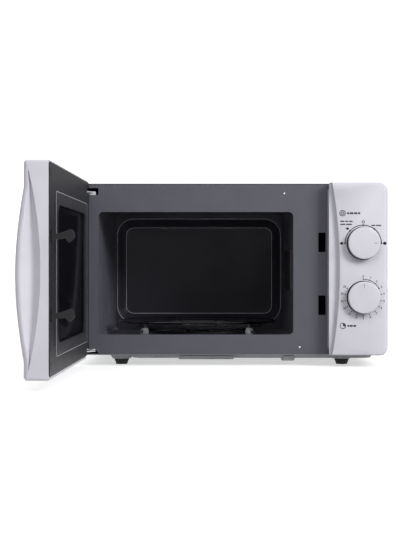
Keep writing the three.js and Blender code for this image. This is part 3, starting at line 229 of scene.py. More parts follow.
def together(*meshes):
    """Several closed shells in one mesh."""
    form = bmesh.new()
    for mesh in meshes:
        form.from_mesh(mesh)
    return made(form)


def placed(name, data):
    """A new object in the scene."""
    obj = bpy.data.objects.new(name, data)
    bpy.context.scene.collection.objects.link(obj)
    return obj


def settled(obj):
    """The object's mesh with its modifiers applied."""
    graph = bpy.context.evaluated_depsgraph_get()
    mesh = bpy.data.meshes.new_from_object(
        obj.evaluated_get(graph), preserve_all_data_layers=True, depsgraph=graph
    )
    bpy.data.objects.remove(obj)
    return mesh


def carved(mesh, operation, tools):
    for tool in tools:
        body = placed("holder", mesh)
        knife = placed("holder", tool)
        modifier = body.modifiers.new("carve", "BOOLEAN")
        modifier.solver = "EXACT"
        modifier.operation = operation
        modifier.object = knife
        mesh = settled(body)
        bpy.data.objects.remove(knife)
    return mesh


def cut(mesh, *tools):
    return carved(mesh, "DIFFERENCE", tools)


def fused(mesh, *tools):
    return carved(mesh, "UNION", tools)


def eased(mesh, width, segments=2, angle=32):
    """The mesh with its sharp edges rounded."""
    form = bmesh.new()
    form.from_mesh(mesh)
    bmesh.ops.remove_doubles(form, verts=form.verts, dist=1e-3)
    bmesh.ops.holes_fill(form, edges=[edge for edge in form.edges if edge.is_boundary])
    bmesh.ops.dissolve_limit(form, angle_limit=radians(0.6), verts=form.verts, edges=form.edges)
    obj = placed("holder", made(form))
    obj.data.shade_smooth()
    modifier = obj.modifiers.new("ease", "BEVEL")
    modifier.width = width
    modifier.segments = segments
    modifier.angle_limit = radians(angle)
    modifier.harden_normals = True
    modifier.use_clamp_overlap = True
    return settled(obj)


def copied(node):
    """A CAD piece's mesh in millimetres, with the door as if shut."""
    obj = frame["nodes"][node]
    form = bmesh.new()
    form.from_mesh(obj.data)
    form.transform(pose_of(obj["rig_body"]).inverted())
    bmesh.ops.remove_doubles(form, verts=form.verts, dist=1e-3)
    return made(form)


def dress(name, mesh, body, slot, finish, *nodes, angle=32):
    """A finished piece in its place, which rides on its body and stands for its CAD nodes."""
    mesh.transform(pose_of(body))
    mesh.materials.clear()
    mesh.materials.append(finish)
    if not mesh.has_custom_normals:
        mesh.shade_smooth()
        mesh.set_sharp_from_angle(angle=radians(angle))
    obj = placed(name, mesh)
    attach(obj, body)
    if nodes:
        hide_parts(*nodes)
    return obj


# ---- Finishes ----


def tone(red, green, blue):
    """A colour from its screen values, 0 to 255."""
    parts = [value / 255 for value in (red, green, blue)]
    return (*(p / 12.92 if p <= 0.04045 else ((p + 0.055) / 1.055) ** 2.4 for p in parts), 1)


def shaded(colour, factor, lift=0):
    """The colour made darker or paler."""
    return tuple(min(1, part * factor + lift) for part in colour[:3]) + (1,)


class Wire:
    """A shader value that Python's operators turn into Math nodes."""

    def __init__(self, finish, socket):
        self.finish = finish
        self.socket = socket

    def math(self, operation, first, second):
        return self.finish.node("ShaderNodeMath", {"operation": operation}, {0: first, 1: second})

    def __add__(self, other):
        return self.math("ADD", self, other)

    def __radd__(self, other):
        return self.math("ADD", other, self)

    def __rsub__(self, other):
        return self.math("SUBTRACT", other, self)

    def __mul__(self, other):
        return self.math("MULTIPLY", self, other)

    def __rmul__(self, other):
        return self.math("MULTIPLY", other, self)


class Finish:
    """A material made of one principled shader and the nodes that vary it."""

    def __init__(self, name, colour, roughness, **constants):
        self.material = bpy.data.materials.new(name)
        self.material.use_nodes = True
        self.tree = self.material.node_tree
        self.shader = self.tree.nodes["Principled BSDF"]
        self.material.diffuse_color = colour
        self.set("Base Color", colour)
        self.set("Roughness", roughness)
        for socket, value in constants.items():
            self.set(socket.replace("_", " "), value)
        self.place = self.node("ShaderNodeTexCoord", output="Object")

    def node(self, kind, settings=None, sockets=None, output=0):
        """A node of this kind: its settings first, and then its sockets' values or links."""
        made_node = self.tree.nodes.new(kind)
        for key, value in (settings or {}).items():
            setattr(made_node, key, value)
        for key, value in (sockets or {}).items():
            self.feed(made_node.inputs[key], value)
        return Wire(self, made_node.outputs[output])

    def feed(self, socket, value):
        if isinstance(value, Wire):
            self.tree.links.new(value.socket, socket)
        else:
            socket.default_value = value

    def set(self, socket, value):
        self.feed(self.shader.inputs[socket], value)

    def mix(self, factor, first, second):
        """One colour fading into another."""
        return self.node("ShaderNodeMix", {"data_type": "RGBA"}, {0: factor, 6: first, 7: second}, 2)

    def stretched(self, x, y, z):
        """The place on the piece, stretched along its axes."""
        scale = {0: self.place, 1: (x, y, z)}
        return self.node("ShaderNodeVectorMath", {"operation": "MULTIPLY"}, scale)

    def grain(self, size, detail=3.0, vector=None):
        """Noise from 0 to 1 with features of this many millimetres."""
        sockets = {"Vector": vector or self.place, "Scale": 1 / (size * MM), "Detail": detail}
        return self.node("ShaderNodeTexNoise", None, sockets)

    def cells(self, size, output="Distance"):
        sockets = {"Vector": self.place, "Scale": 1 / (size * MM)}
        return self.node("ShaderNodeTexVoronoi", None, sockets, output)

    def raised(self, height, depth, strength=1.0):
        """Bumps of this many millimetres where the height is 1."""
        sockets = {"Strength": strength, "Distance": depth * MM, "Height": height}
        self.set("Normal", self.node("ShaderNodeBump", None, sockets))

    def between(self, wire, low, high):
        """The part of a value from low to high, spread over 0 to 1."""
        sockets = {"Value": wire, "From Min": low, "From Max": high}
        return self.node("ShaderNodeMapRange", {"clamp": True}, sockets)


def moulded_plastic(name, colour, roughness, fleck=0.06, spark=0.012, **constants):
    """Moulded plastic: a fine spark-eroded texture, slight clouding and handling marks."""
    finish = Finish(name, colour, roughness, **constants)
    cloud = finish.grain(38, 2.0)
    texture = finish.grain(0.42, 4.0)
    marks = finish.between(finish.grain(9, 5.0), 0.52, 0.72)
    dark = shaded(colour, 1 - fleck)
    finish.set("Base Color", finish.mix(finish.between(cloud, 0.35, 0.65), dark, colour))
    finish.set("Roughness", roughness + 0.05 * texture + 0.07 * marks)
    finish.raised(texture, spark)
    return finish.material


def baked_paint(name, colour, roughness, peel=0.02, peel_size=1.6, dust=0.05, **constants):
    """Baked paint on steel: orange peel, a faint mottle and a little settled dust."""
    finish = Finish(name, colour, roughness, **constants)
    mottle = finish.grain(26, 4.0)
    skin = finish.grain(peel_size, 2.0)
    fine = finish.grain(0.35, 2.0)
    pale = shaded(colour, 1 + dust, dust * 0.08)
    finish.set("Base Color", finish.mix(finish.between(mottle, 0.4, 0.7), colour, pale))
    finish.set("Roughness", roughness + 0.1 * mottle)
    finish.raised(skin + 0.25 * fine, peel)
    return finish.material


def speckled_enamel(name, colour, fleck_colour, roughness, **constants):
    """Cavity enamel: dark, glossy in patches, with fine pale flecks and a wavy skin."""
    finish = Finish(name, colour, roughness, **constants)
    wave = finish.grain(14, 3.0)
    flecks = finish.between(finish.cells(2.1), 0.16, 0.1)
    smears = finish.between(finish.grain(48, 5.0), 0.5, 0.75)
    speckled = finish.mix(0.35 * flecks, colour, fleck_colour)
    finish.set("Base Color", speckled)
    finish.set("Roughness", roughness + 0.12 * smears + 0.05 * wave)
    finish.raised(wave + 0.15 * finish.grain(0.8), 0.03)
    return finish.material


def rolled_metal(name, colour, roughness, grain_mm=0.12, spangle=0.0, metallic=1.0):
    """Bare sheet metal with a rolling grain, and zinc crystals where it has a spangle."""
    finish = Finish(name, colour, roughness, Metallic=metallic)
    lines = finish.grain(grain_mm * 20, 4.0, finish.stretched(1, 1, 24))
    stains = finish.between(finish.grain(30, 4.0), 0.45, 0.7)
    dull = shaded(colour, 0.72)
    shade = finish.mix(0.35 * stains + spangle * finish.cells(7), colour, dull)
    finish.set("Base Color", shade)
    finish.set("Roughness", roughness + 0.12 * lines + 0.1 * stains)
    finish.raised(lines, 0.01)
    return finish.material


def moulded_rubber(name, colour):
    finish = Finish(name, colour, 0.78)
    texture = finish.grain(0.7, 5.0)
    bloom = finish.between(finish.grain(6, 4.0), 0.45, 0.7)
    pale = shaded(colour, 1.5, 0.01)
    finish.set("Base Color", finish.mix(0.5 * bloom, colour, pale))
    finish.set("Roughness", 0.72 + 0.16 * texture)
    finish.raised(texture, 0.05)
    return finish.material


def polished_glass(name, colour, roughness=0.03, **constants):
    """Pressed or float glass with a faint wave and a few greasy patches."""
    finish = Finish(name, colour, roughness, **constants)
    grease = finish.between(finish.grain(22, 5.0), 0.55, 0.75)
    finish.set("Roughness", roughness + 0.09 * grease)
    finish.raised(finish.grain(30, 1.0), 0.004)
    return finish.material


def wound_copper(name, colour):
    """Lacquered wire lying in close turns."""
    finish = Finish(name, colour, 0.34, Metallic=1.0)
    turns = finish.node("ShaderNodeTexWave", {"bands_direction": "Z"},
                        {"Vector": finish.place, "Scale": 260, "Distortion": 0.6})
    # darker in patches in the grooves between the turns
    darker_in_grooves = shaded(colour, 0.45)
    finish.set("Base Color", finish.mix(finish.grain(5, 3.0) * (1 - turns), colour, darker_in_grooves))
    finish.set("Roughness", 0.3 + 0.25 * (1 - turns))
    finish.raised(turns, 0.35)
    return finish.material


def flaked_mica(name, colour):
    finish = Finish(name, colour, 0.5, Coat_Weight=0.3, Coat_Roughness=0.2)
    flakes = finish.cells(2.6, "Color")
    level = finish.node("ShaderNodeSeparateColor", None, {0: flakes})
    brown = shaded(colour, 0.6)
    finish.set("Base Color", finish.mix(0.6 * level, colour, brown))
    finish.set("Roughness", 0.35 + 0.3 * level)
    finish.raised(level, 0.04)
    return finish.material


def printed_ink(name, colour):
    """Pad-printed ink, thinner towards worn patches."""
    finish = Finish(name, colour, 0.5)
    wear = finish.between(finish.grain(1.2, 4.0), 0.55, 0.8)
    faded = shaded(colour, 1, 0.12)
    finish.set("Base Color", finish.mix(0.5 * wear, colour, faded))
    finish.set("Roughness", 0.45 + 0.2 * wear)
    finish.raised(finish.grain(0.3, 2.0), 0.005)
    return finish.material


WHITE_SHELL = moulded_plastic("white_shell", tone(219, 217, 226), 0.36)
KNOB_WHITE = moulded_plastic("knob_white", tone(217, 215, 224), 0.4, spark=0.008)
FRAME_PAINT = baked_paint("frame_paint", tone(80, 80, 90), 0.42)
DOOR_PAINT = baked_paint("door_paint", tone(36, 35, 40), 0.4, Specular_IOR_Level=0.2)
# One enamel in two copies: the walls' copy is paler for painted light, the back's darker for painted shade.
WALL_ENAMEL_LIT = speckled_enamel("cavity_enamel", tone(112, 111, 122), tone(100, 100, 110), 0.26)
BACK_ENAMEL_SHADED = speckled_enamel(
    "back_enamel_shaded", tone(60, 58, 68), tone(88, 87, 98), 0.3, Specular_IOR_Level=0.12
)
# near-white: painted highlight along the back pressing's edges
HIGHLIGHT_ENAMEL = baked_paint("painted_highlight_enamel", tone(240, 240, 246), 0.3)
# near-white: painted highlight along the choke cover's eased outer edge
CHOKE_RIM_HIGHLIGHT = moulded_plastic("choke_rim_highlight", tone(214, 213, 220), 0.25)
CHOKE_PLASTIC = moulded_plastic("choke_plastic", tone(44, 43, 48), 0.34, Specular_IOR_Level=0.3)
BLACK_PLASTIC = moulded_plastic("black_plastic", tone(24, 23, 27), 0.46, fleck=0.2, Specular_IOR_Level=0.3)
# near-black with almost no gloss: painted shade for the latch parts seen through the hook slots
SHADE_BLACK_PLASTIC = moulded_plastic("shade_black_plastic", tone(8, 8, 9), 0.7, fleck=0.3, Specular_IOR_Level=0.08)
BLACK_GLASS = polished_glass("black_glass", tone(12, 12, 14), 0.05)
SMOKED_PANE = polished_glass("smoked_pane", tone(20, 20, 24), 0.1, IOR=1.04)
CLEAR_GLASS = polished_glass("clear_glass", tone(238, 245, 242), 0.02, Transmission_Weight=1.0, IOR=1.5)
TRAY_GLASS = polished_glass("tray_glass", tone(206, 214, 214), 0.04, Transmission_Weight=1.0, IOR=1.4)
COVER_PAINT = baked_paint("cover_paint", tone(222, 222, 226), 0.46, peel=0.05, peel_size=0.9, dust=0.012)
ZINC_SHEET = rolled_metal("zinc_sheet", tone(196, 198, 203), 0.34, spangle=0.5)
BASE_ZINC = rolled_metal("base_zinc", tone(168, 170, 174), 0.5, spangle=0.4, metallic=0.25)
BRIGHT_STEEL = rolled_metal("bright_steel", tone(205, 206, 208), 0.28)
DARK_STEEL = rolled_metal("dark_steel", tone(128, 130, 134), 0.4)
RUBBER = moulded_rubber("rubber", tone(46, 46, 48))
CREAM_PLASTIC = moulded_plastic("cream_plastic", tone(217, 210, 192), 0.5)
# paler than white plastic: the rollers' own white brightened with painted highlight, so that they read
# bright in the dark cavity
WHEEL_WHITE_AND_HIGHLIGHT = moulded_plastic("wheel_white_and_highlight", tone(250, 250, 250), 0.3)
COPPER = wound_copper("copper", tone(112, 64, 42))
MICA = flaked_mica("mica", tone(64, 61, 62))
INK = printed_ink("printed_ink", tone(18, 17, 24))
POINTER_INK = printed_ink("pointer_ink", tone(150, 149, 158))
LABEL_FILM = moulded_plastic("label_film", tone(205, 206, 208), 0.3, spark=0.004)

# ---- Sheet-metal box ----

CAVITY_RADIUS = 7
MOUTH_SILL = 8
MOUTH_HEAD = 14
HINGE_TOP = 250
HINGE_BOTTOM = 22
SLOT_RIGHT = 134.4
SLOT_WIDTH = 10.4
SLOT_HEIGHT = 28
SLOTS_Z = (178, 87.7)

HINGES_Z = (HINGE_TOP, HINGE_BOTTOM)
HOOK_X = SLOT_RIGHT - SLOT_WIDTH / 2
FLANGE = 3.5  # the cavity's sheet turns out this far behind the frame

cavity_left = wrap_low.x + FLANGE
cavity_right = wrap_high.x - FLANGE
cavity_floor = wrap_low.z + FLANGE
cavity_top = wrap_high.z - FLANGE
mouth_low = cavity_floor + MOUTH_SILL
mouth_high = cavity_top - MOUTH_HEAD


def front_frame():
    """The painted frame: rolled lips round the mouth, slots for the hooks and the hinges."""
    end, depth = face_high.x, face_high.y
    face = front(rounded(left, frame_foot, end, frame_top, 2, 4), 0, SHEET)

    def flange(inset, run_on, radius, y0, y1):
        outline = rounded(left + inset, frame_foot + inset, end + run_on, frame_top - inset, radius, 4)
        return front(outline, y0, y1)

    beyond = block(end, end + 60, -1, depth + 1, 0, frame_top + 9)
    ring = cut(flange(1.3, 40, 3, 0, depth), flange(2.3, 50, 2, SHEET, depth + 1), beyond)
    half = SLOT_HEIGHT / 2
    slots = [
        front(rounded(SLOT_RIGHT - SLOT_WIDTH, z - half, SLOT_RIGHT, z + half, 1.2, 4), -1, 2)
        for z in SLOTS_Z
    ]
    corner = [
        (left - 1, frame_foot - 1),
        (hinge_x + 22, frame_foot - 1),
        (hinge_x + 15, frame_foot + 8),
        (left - 1, frame_foot + 8),
    ]
    mouth = front(rounded(cavity_left, mouth_low, cavity_right, mouth_high, CAVITY_RADIUS, 12), -1, 2)
    hinge_slot = front(rounded(hinge_x + 4, HINGE_TOP - 4, hinge_x + 20, HINGE_TOP + 6, 1, 3), -1, 2)
    mesh = cut(fused(face, ring), mouth, *slots, hinge_slot, front(corner, -1, depth + 1))
    return eased(mesh, 0.32)


def rivets():
    """Two small rivets that hold the flange, one over the mouth and one under it."""
    dome = [(0, 0.42), (0.8, 0.34), (1.2, 0.12), (1.3, -0.1), (0, -0.1)][::-1]
    places = ((75, frame_top - 14.2), (97, frame_foot + 10.1))
    return together(*(moved(turned(dome, 24), x, 0, z, FORWARD) for x, z in places))


def cavity_wrap():
    """Roof, walls and floor in one rolled sheet, with the wave window and a ring round the drive."""
    y0, y1 = wrap_low.y, wrap_high.y

    def outline(grow):
        return rounded(
            cavity_left - grow, cavity_floor - grow, cavity_right + grow, cavity_top + grow,
            CAVITY_RADIUS + grow, 12,
        )

    mica_low, mica_high = spot("waveguide_cover")
    window = block(
        cavity_right - 2, cavity_right + 4, mica_low.y + 7, mica_high.y - 7, mica_low.z + 7, mica_high.z - 7
    )
    drive = centre("drive_coupler")
    hole = moved(turned([(0, 0), (6, 0), (6, 20), (0, 20)], 48), drive.x, drive.y, cavity_floor - 10)
    swage = turned(disc(26, 0, 1.1, 16), 96, ring=True)
    swage = moved(swage, drive.x, drive.y, cavity_floor - 0.5)
    bent = [(0, y0), (0, y1), (SHEET, y1), (SHEET, y0 + SHEET), (FLANGE, y0 + SHEET), (FLANGE, y0)]
    rings = [upright(outline(grow), y) for grow, y in bent]
    return eased(fused(cut(loft(rings, ring=True), window, hole), swage), 0.25)


BACK_INSET_X, BACK_INSET_Z = 2, 11.5
BACK_SLOPE = 15
BACK_RADIUS = 28
HIGHLIGHT_WIDTH = 0.7  # width of the painted highlight along an edge of the pressing


def cavity_back():
    """The back pressing: a flat rim, a swept slope and a flat panel further back."""
    y0 = back_low.y
    depth = back_high.y - back_low.y - SHEET

    def ring(inset, y):
        outline = rounded(
            cavity_left + BACK_INSET_X + inset,
            cavity_floor + BACK_INSET_Z + inset,
            cavity_right - BACK_INSET_X - inset,
            cavity_top - BACK_INSET_Z - inset,
            BACK_RADIUS - inset,
            12,
        )
        return upright(outline, y)

    inside = [ring(inset, y0 + drop) for inset, drop in pressed_curve(depth)]
    outside = [ring(inset + 0.2, y0 + drop + SHEET) for inset, drop in pressed_curve(depth)]
    rim = rounded(wrap_low.x, wrap_low.z, wrap_high.x, wrap_high.z, 9, 12)
    edge = [upright(rim, y) for y in (y0, y0 + SHEET)]
    sections = list(reversed(inside)) + [edge[0], edge[1]] + outside
    return loft(sections)


def back_edges():
    """Painted highlights: a bright line along each of the pressing's two edges, where light glints on them.
    """
    depth = back_high.y - back_low.y - SHEET
    lines = []
    for inset, y in ((0.4, back_low.y - 0.12), (BACK_SLOPE, back_low.y + depth - 0.12)):
        x0, z0 = cavity_left + BACK_INSET_X + inset, cavity_floor + BACK_INSET_Z + inset
        x1, z1 = cavity_right - BACK_INSET_X - inset, cavity_top - BACK_INSET_Z - inset
        sections = []
        for grow, back in ((0, 0), (0, 0.3), (-HIGHLIGHT_WIDTH, 0.3), (-HIGHLIGHT_WIDTH, 0)):
            outline = rounded(x0 - grow, z0 - grow, x1 + grow, z1 + grow, BACK_RADIUS - inset + grow, 12)
            sections.append(upright(outline, y + back))
        lines.append(loft(sections, ring=True))
    return together(*lines)


def top_hem():
    """A dark strip along the frame's upper edge: painted shadow where the edge folds back."""
    x0, x1 = left + 12, panel_low.x
    return eased(block(x0, x1, -0.08, 0.5, frame_top - 0.9, frame_top - 0.02), 0.04)


def pressed_curve(depth):
    """How far in and how far back the pressing's slope runs, rounded at its top and foot."""
    points = []
    for i in range(13):
        t = i / 12
        share = (1 - cos(pi * t)) / 2
        points.append((BACK_SLOPE * t, depth * (0.35 * share + 0.65 * t)))
    return points


VENT_WIDTH, VENT_HEIGHT = 5, 20


def outer_cover():
    """The painted wrap: roof and both sides in one sheet, with vents high on the right."""
    y0, y1 = cover_low.y, cover_high.y
    corners = ((right - 4, frame_top - 4, 0), (left + 4, frame_top - 4, 90))

    def outline(radius, x0, x1):
        turns = [point for cx, cz, start in corners for point in arc(cx, cz, radius, start, start + 90, 8)]
        return [(x1, frame_foot), *turns, (x0, frame_foot)]

    sheet = rolled(outline(4, left, right), outline(3, left + SHEET, right - SHEET), y0, y1)
    vents = [
        profile(rounded(y, z, y + VENT_WIDTH, z + VENT_HEIGHT, 2.4, 5), right - 4, right + 1)
        for z in (190, 160, 130)
        for y in range(60, 158, 14)
    ]
    return eased(cut(sheet, together(*vents)), 0.45)


def screw(radius=3.4):
    """A pan-head screw with a cross recess, its head standing along +Z."""
    side = [(0, -0.2), (radius, -0.2), (radius, 0.5), (radius * 0.86, 1.3), (radius * 0.5, 1.8), (0, 1.95)]
    head = turned(side, 40)
    arms = [block(-a, a, -b, b, 0.9, 3) for a, b in ((radius * 0.55, 0.42), (0.42, radius * 0.55))]
    return cut(head, *arms)


FAN_GRILLE_RADIUS, FAN_SLOT_STEP = 46, 8
SCREW_INSET = 14


def rear_panel():
    """The rear sheet with its fan grille, intake slots and cord opening."""
    y0, y1 = rear_low.y, rear_high.y
    sheet = front(rounded(left, frame_foot, right, frame_top, 4, 6), y0, y1)
    fan = centre("fan_blade")
    slots = []
    for i in range(-5, 6):
        z = fan.z + i * FAN_SLOT_STEP
        half = sqrt(FAN_GRILLE_RADIUS**2 - (i * FAN_SLOT_STEP) ** 2) - 3
        slots.append(front(rounded(fan.x - half, z - 2, fan.x + half, z + 2, 1.9, 5), y0 - 1, y1 + 1))
    for i in range(8):
        x = left + 30 + i * 9
        slots.append(front(rounded(x, 60, x + 4, 90, 1.9, 5), y0 - 1, y1 + 1))
    gland = centre("cord_gland")
    slots.append(front(disc(gland.x, gland.z, 8.3), y0 - 1, y1 + 1))
    return eased(cut(sheet, *slots), 0.22)


def foot():
    side = [(0, 0)] + arc(7.6, 1, 1, -90, 0, 5) + [(8.6, 2.2)] + arc(9.6, 6.8, 1, -20, 70, 5)
    return turned(side + [(9.2, 8), (0, 8)], 64)


def cabinet():
    base = eased(copied("base_plate"), 0.5, 3, 20)
    for name, mesh, slot, finish, *nodes in (
        ("front_frame_painted", front_frame(), "frame_paint", FRAME_PAINT, "front_frame"),
        ("frame_rivets", rivets(), "steel", BRIGHT_STEEL),
        # the walls' enamel is painted paler for light, the back's darker for shade
        ("cavity_wrap_rolled", cavity_wrap(), "cavity_enamel", WALL_ENAMEL_LIT, "cavity_wrap"),
        ("cavity_back_pressed", cavity_back(), "cavity_enamel", BACK_ENAMEL_SHADED, "cavity_back"),
        # painted highlights along the back pressing's edges
        ("cavity_back_edges", back_edges(), "cavity_enamel", HIGHLIGHT_ENAMEL),
        # a dark strip of painted shadow along the frame's top edge
        ("frame_top_hem", top_hem(), "frame_paint", DOOR_PAINT),
        ("outer_cover_painted", outer_cover(), "cover_paint", COVER_PAINT, "outer_cover"),
        ("rear_panel_punched", rear_panel(), "zinc_sheet", ZINC_SHEET, "rear_panel"),
        ("base_plate_pressed", base, "zinc_sheet", BASE_ZINC, "base_plate"),
    ):
        dress(name, mesh, "cabinet", slot, finish, *nodes)
    for place in ("front_left", "front_right", "rear_left", "rear_right"):
        node = f"foot_{place}"
        low, high = spot(node)
        mesh = moved(foot(), (low.x + high.x) / 2, (low.y + high.y) / 2)
        dress(f"{node}_moulded", mesh, "cabinet", "rubber", RUBBER, node)
    rear_screws = [
        moved(screw(), x, rear_high.y, z, BACKWARD)
        for x in (left + SCREW_INSET, right - SCREW_INSET)
        for z in (frame_foot + SCREW_INSET, middle_z, frame_top - SCREW_INSET)
    ]
    dress("rear_screws", together(*rear_screws), "cabinet", "steel", BRIGHT_STEEL)
    label = front(rounded(left + 120, 120, left + 190, 165, 3), rear_high.y - 0.05, rear_high.y + 0.15)
    dress("blank_label", label, "cabinet", "white_shell", LABEL_FILM)


# ---- Control panel ----

SCOOP_ENDS, SCOOP_MIDDLE, SCOOP_DEPTH = 3.6, 15.5, 8
PANEL_RADIUS, PANEL_BEVEL, PANEL_WALL = 12, 6.5, 2.5
KNOB_RADIUS, KNOB_HEIGHT = 22.5, 14
WELL_DEPTH = 1.2  # a knob's recess in the panel
knob_x = sum(p.x for p in spot("power_knob")) / 2
DIALS_Z = [sum(p.z for p in spot(f"{name}_knob")) / 2 for name in ("power", "timer")]


def scoop_edge(z):
    """Where the finger scoop's edge crosses the panel's face at this height."""
    share = 1 - ((z - middle_z) / (frame_top - middle_z)) ** 2
    return panel_low.x + SCOOP_ENDS + (SCOOP_MIDDLE - SCOOP_ENDS) * share


def panel_blank():
    """The panel's outside: square on the left, a rounded bevel on the other three sides."""
    low, high = panel_low, panel_high
    sections = [(0, high.y), (0, panel_face + PANEL_BEVEL)]
    for i in range(1, 9):
        angle = radians(90 * i / 8)
        sections.append((PANEL_BEVEL * (1 - cos(angle)), panel_face + PANEL_BEVEL * (1 - sin(angle))))
    rings = []
    for inset, y in sections:
        radius = PANEL_RADIUS - inset
        edge = inset * 0.3
        corners = (radius, radius, 1, 1)
        rings.append(upright(rounded(low.x, low.z + edge, high.x - inset, high.z - edge, corners, 10), y))
    return loft(rings)


def scoop_tool():
    """The hollow for the fingers: a flat floor that sweeps up to the arched edge."""
    floor = panel_face + SCOOP_DEPTH
    sections = []
    for i in range(33):
        z = frame_foot - 1 + (frame_top - frame_foot + 2) * i / 32
        edge = scoop_edge(min(max(z, frame_foot), frame_top))
        width = edge - panel_low.x
        outline = [(panel_low.x - 9, panel_face - 9), (edge, panel_face - 9)]
        for k in range(11):
            t = k / 10
            outline.append((edge - 0.46 * width * t, panel_face + SCOOP_DEPTH * (1 - cos(pi * t)) / 2))
        outline.append((panel_low.x - 9, floor))
        sections.append([(x, y, z) for x, y in outline])
    return loft(sections)


def panel_moulding():
    low, high = panel_low, panel_high
    wall = PANEL_WALL
    inner, deeper = panel_face + wall, panel_face + wall + SCOOP_DEPTH
    hollow = block(low.x + SCOOP_MIDDLE + wall, high.x - wall - 1, inner, 9, low.z + wall, high.z - wall)
    left_hollow = block(low.x + wall, high.x - wall - 1, deeper, 9, low.z + wall, high.z - wall)
    notches = [
        block(low.x - 1, low.x + wall + 1, deeper, 9, z0, z1)
        for z0, z1 in ((low.z - 1, low.z + 9), (high.z - 9, high.z + 1))
    ]
    rims = [disc(knob_x, z, KNOB_RADIUS + 1, 96) for z in DIALS_Z]
    wells = [front(rim, panel_face - 1, panel_face + WELL_DEPTH) for rim in rims]
    bores = [front(disc(knob_x, z, 5), panel_face - 1, 0) for z in DIALS_Z]
    mesh = cut(panel_blank(), hollow, left_hollow, scoop_tool(), *notches, *wells, *bores)
    return eased(mesh, 0.3, 2, 38)


UNDERCUT = 2.4  # a knob's side, with its black band of painted shade, lies this far in from its cap's rim


def knob_cap():
    """A plain flat cap with a softly rounded rim and a short groove for its pointer."""
    h, r = KNOB_HEIGHT, KNOB_RADIUS
    points = [(3.3, 0), (r - UNDERCUT, 0), (r - UNDERCUT, 9.6), (r, 10.2)]
    points += arc(r - 1.7, h - 1.7, 1.7, 0, 90, 8)
    points += [(r * 0.5, h - 0.12), (0, h - 0.15)]
    cap = turned(points + [(0, 9.3), (3.3, 9.3), (3.3, 0)], 128)
    return cut(cap, block(-0.55, 0.55, r - 8.5, r - 3.2, h - 0.5, h + 1))


def knob_skirt():
    """A black band round a knob's side, under the cap's rim: painted shade for the side in shadow."""
    r = KNOB_RADIUS
    side = r - UNDERCUT + 0.02
    return turned([(side, 0.2), (side + 0.5, 0.2), (side + 0.6, 9.5), (side, 9.5)], 128, ring=True)


def dial_seal(z):
    """A black ring on the floor of a dial's recess: painted shadow in the gap round the knob."""
    floor_y = panel_face + WELL_DEPTH
    outline = [(5.3, 0), (KNOB_RADIUS + 0.85, 0), (KNOB_RADIUS + 0.85, 0.4), (5.3, 0.4)]
    return moved(turned(outline, 96, ring=True), knob_x, floor_y, z, FORWARD)


def pointer():
    r, h = KNOB_RADIUS, KNOB_HEIGHT
    return block(-0.45, 0.45, r - 8.4, r - 3.3, h - 0.55, h - 0.22)


def dial_turn(direction):
    """Turns a knob made lying flat, pointer along +Y, to point this many degrees clockwise."""
    return Matrix.Rotation(radians(direction), 4, "Y") @ FORWARD


INK_DEPTH = 0.12


def inked(points):
    return front(points, panel_face - INK_DEPTH, panel_face + 0.05)


def around(z, radius, clock):
    """The point at this clock angle, in degrees from the top, round a dial."""
    return knob_x + radius * sin(radians(clock)), z + radius * cos(radians(clock))


def band(z, radius, width, start, end, steps=48):
    """An inked arc of a dial, its angles clockwise from the top."""
    outer = [around(z, radius + width / 2, start + (end - start) * i / steps) for i in range(steps + 1)]
    inner = [around(z, radius - width / 2, start + (end - start) * i / steps) for i in range(steps + 1)]
    return inked(outer + inner[::-1])


def dot(x, z, radius=0.95):
    return inked(disc(x, z, radius, 20))


def bar(x0, x1, z, height=1.5):
    """A short printed bar where a word would stand."""
    return inked(rounded(x0, z - height / 2, x1, z + height / 2, height * 0.45, 4))


def words(x, z, lengths, height=1.5, space=0.9):
    """A row of short bars."""
    bars = []
    for length in lengths:
        bars.append(bar(x, x + length, z, height))
        x += length + space
    return bars


def numeral(text, x, z, size):
    """A printed number, centred on its place."""
    curve = bpy.data.curves.new("numeral", "FONT")
    curve.body = text
    curve.size = size
    curve.extrude = INK_DEPTH / 2
    curve.offset = 0.08
    curve.align_x = "CENTER"
    curve.align_y = "CENTER"
    form = bmesh.new()
    form.from_mesh(settled(placed("holder", curve)))
    bmesh.ops.remove_doubles(form, verts=form.verts, dist=1e-3)
    mesh = made(form)
    return moved(mesh, x, panel_face - INK_DEPTH / 2 + 0.02, z, FORWARD)


def ring_mark(x, z, radius, width):
    outer, inner = disc(x, z, radius, 40), disc(x, z, radius - width, 40)
    seen, buried = panel_face - INK_DEPTH, panel_face + 0.05
    sections = ((outer, seen), (outer, buried), (inner, buried), (inner, seen))
    return loft([upright(loop, y) for loop, y in sections], ring=True)


POWER_ARC = 25.6


def power_print():
    """The power dial's scale: an arc over the top, five stops, small symbols and plain bars."""
    z = DIALS_Z[0]
    marks = [band(z, POWER_ARC, 1.15, -92, 92, 72)]
    for clock in (-90, -47, 0, 38, 90):
        marks.append(dot(*around(z, POWER_ARC, clock), 1.25))
    for clock, size in ((-90, 2.1), (-47, 1.8), (90, 2.3)):
        x, zz = around(z, 30.4, clock)
        marks.append(dot(x, zz, size))
        marks.append(bar(x - size - 0.5, x + size + 0.5, zz, 1.2))
    x, zz = around(z, 30.2, 0)
    marks.append(ring_mark(x, zz, 2.2, 0.9))
    marks += words(152, z + 31, (6.2, 4.4, 5.2), 1.7)
    marks += words(152, z + 26.7, (7.4, 8.2), 1.7)
    marks += words(196, z + 25.2, (5.4, 7.6), 1.7)
    sun_x, sun_z = 155.3, z + 42.4
    marks += [ring_mark(sun_x, sun_z, 4.4, 0.9), ring_mark(sun_x, sun_z, 2.2, 0.9)]
    for ray in range(8):
        a = radians(45 * ray)
        marks.append(dot(sun_x + 3.0 * cos(a), sun_z + 3.0 * sin(a), 0.45))
    marks += words(161.5, sun_z, (3.2, 5.6, 4.8, 3.4), 2.6, 0.6)
    return together(*marks)


TIMER_ARC = 25.8
MINUTES = (0, 1, 2, 3, 4, 5, 6, 7, 8, 9, 10, 15, 20, 25, 30, 35)


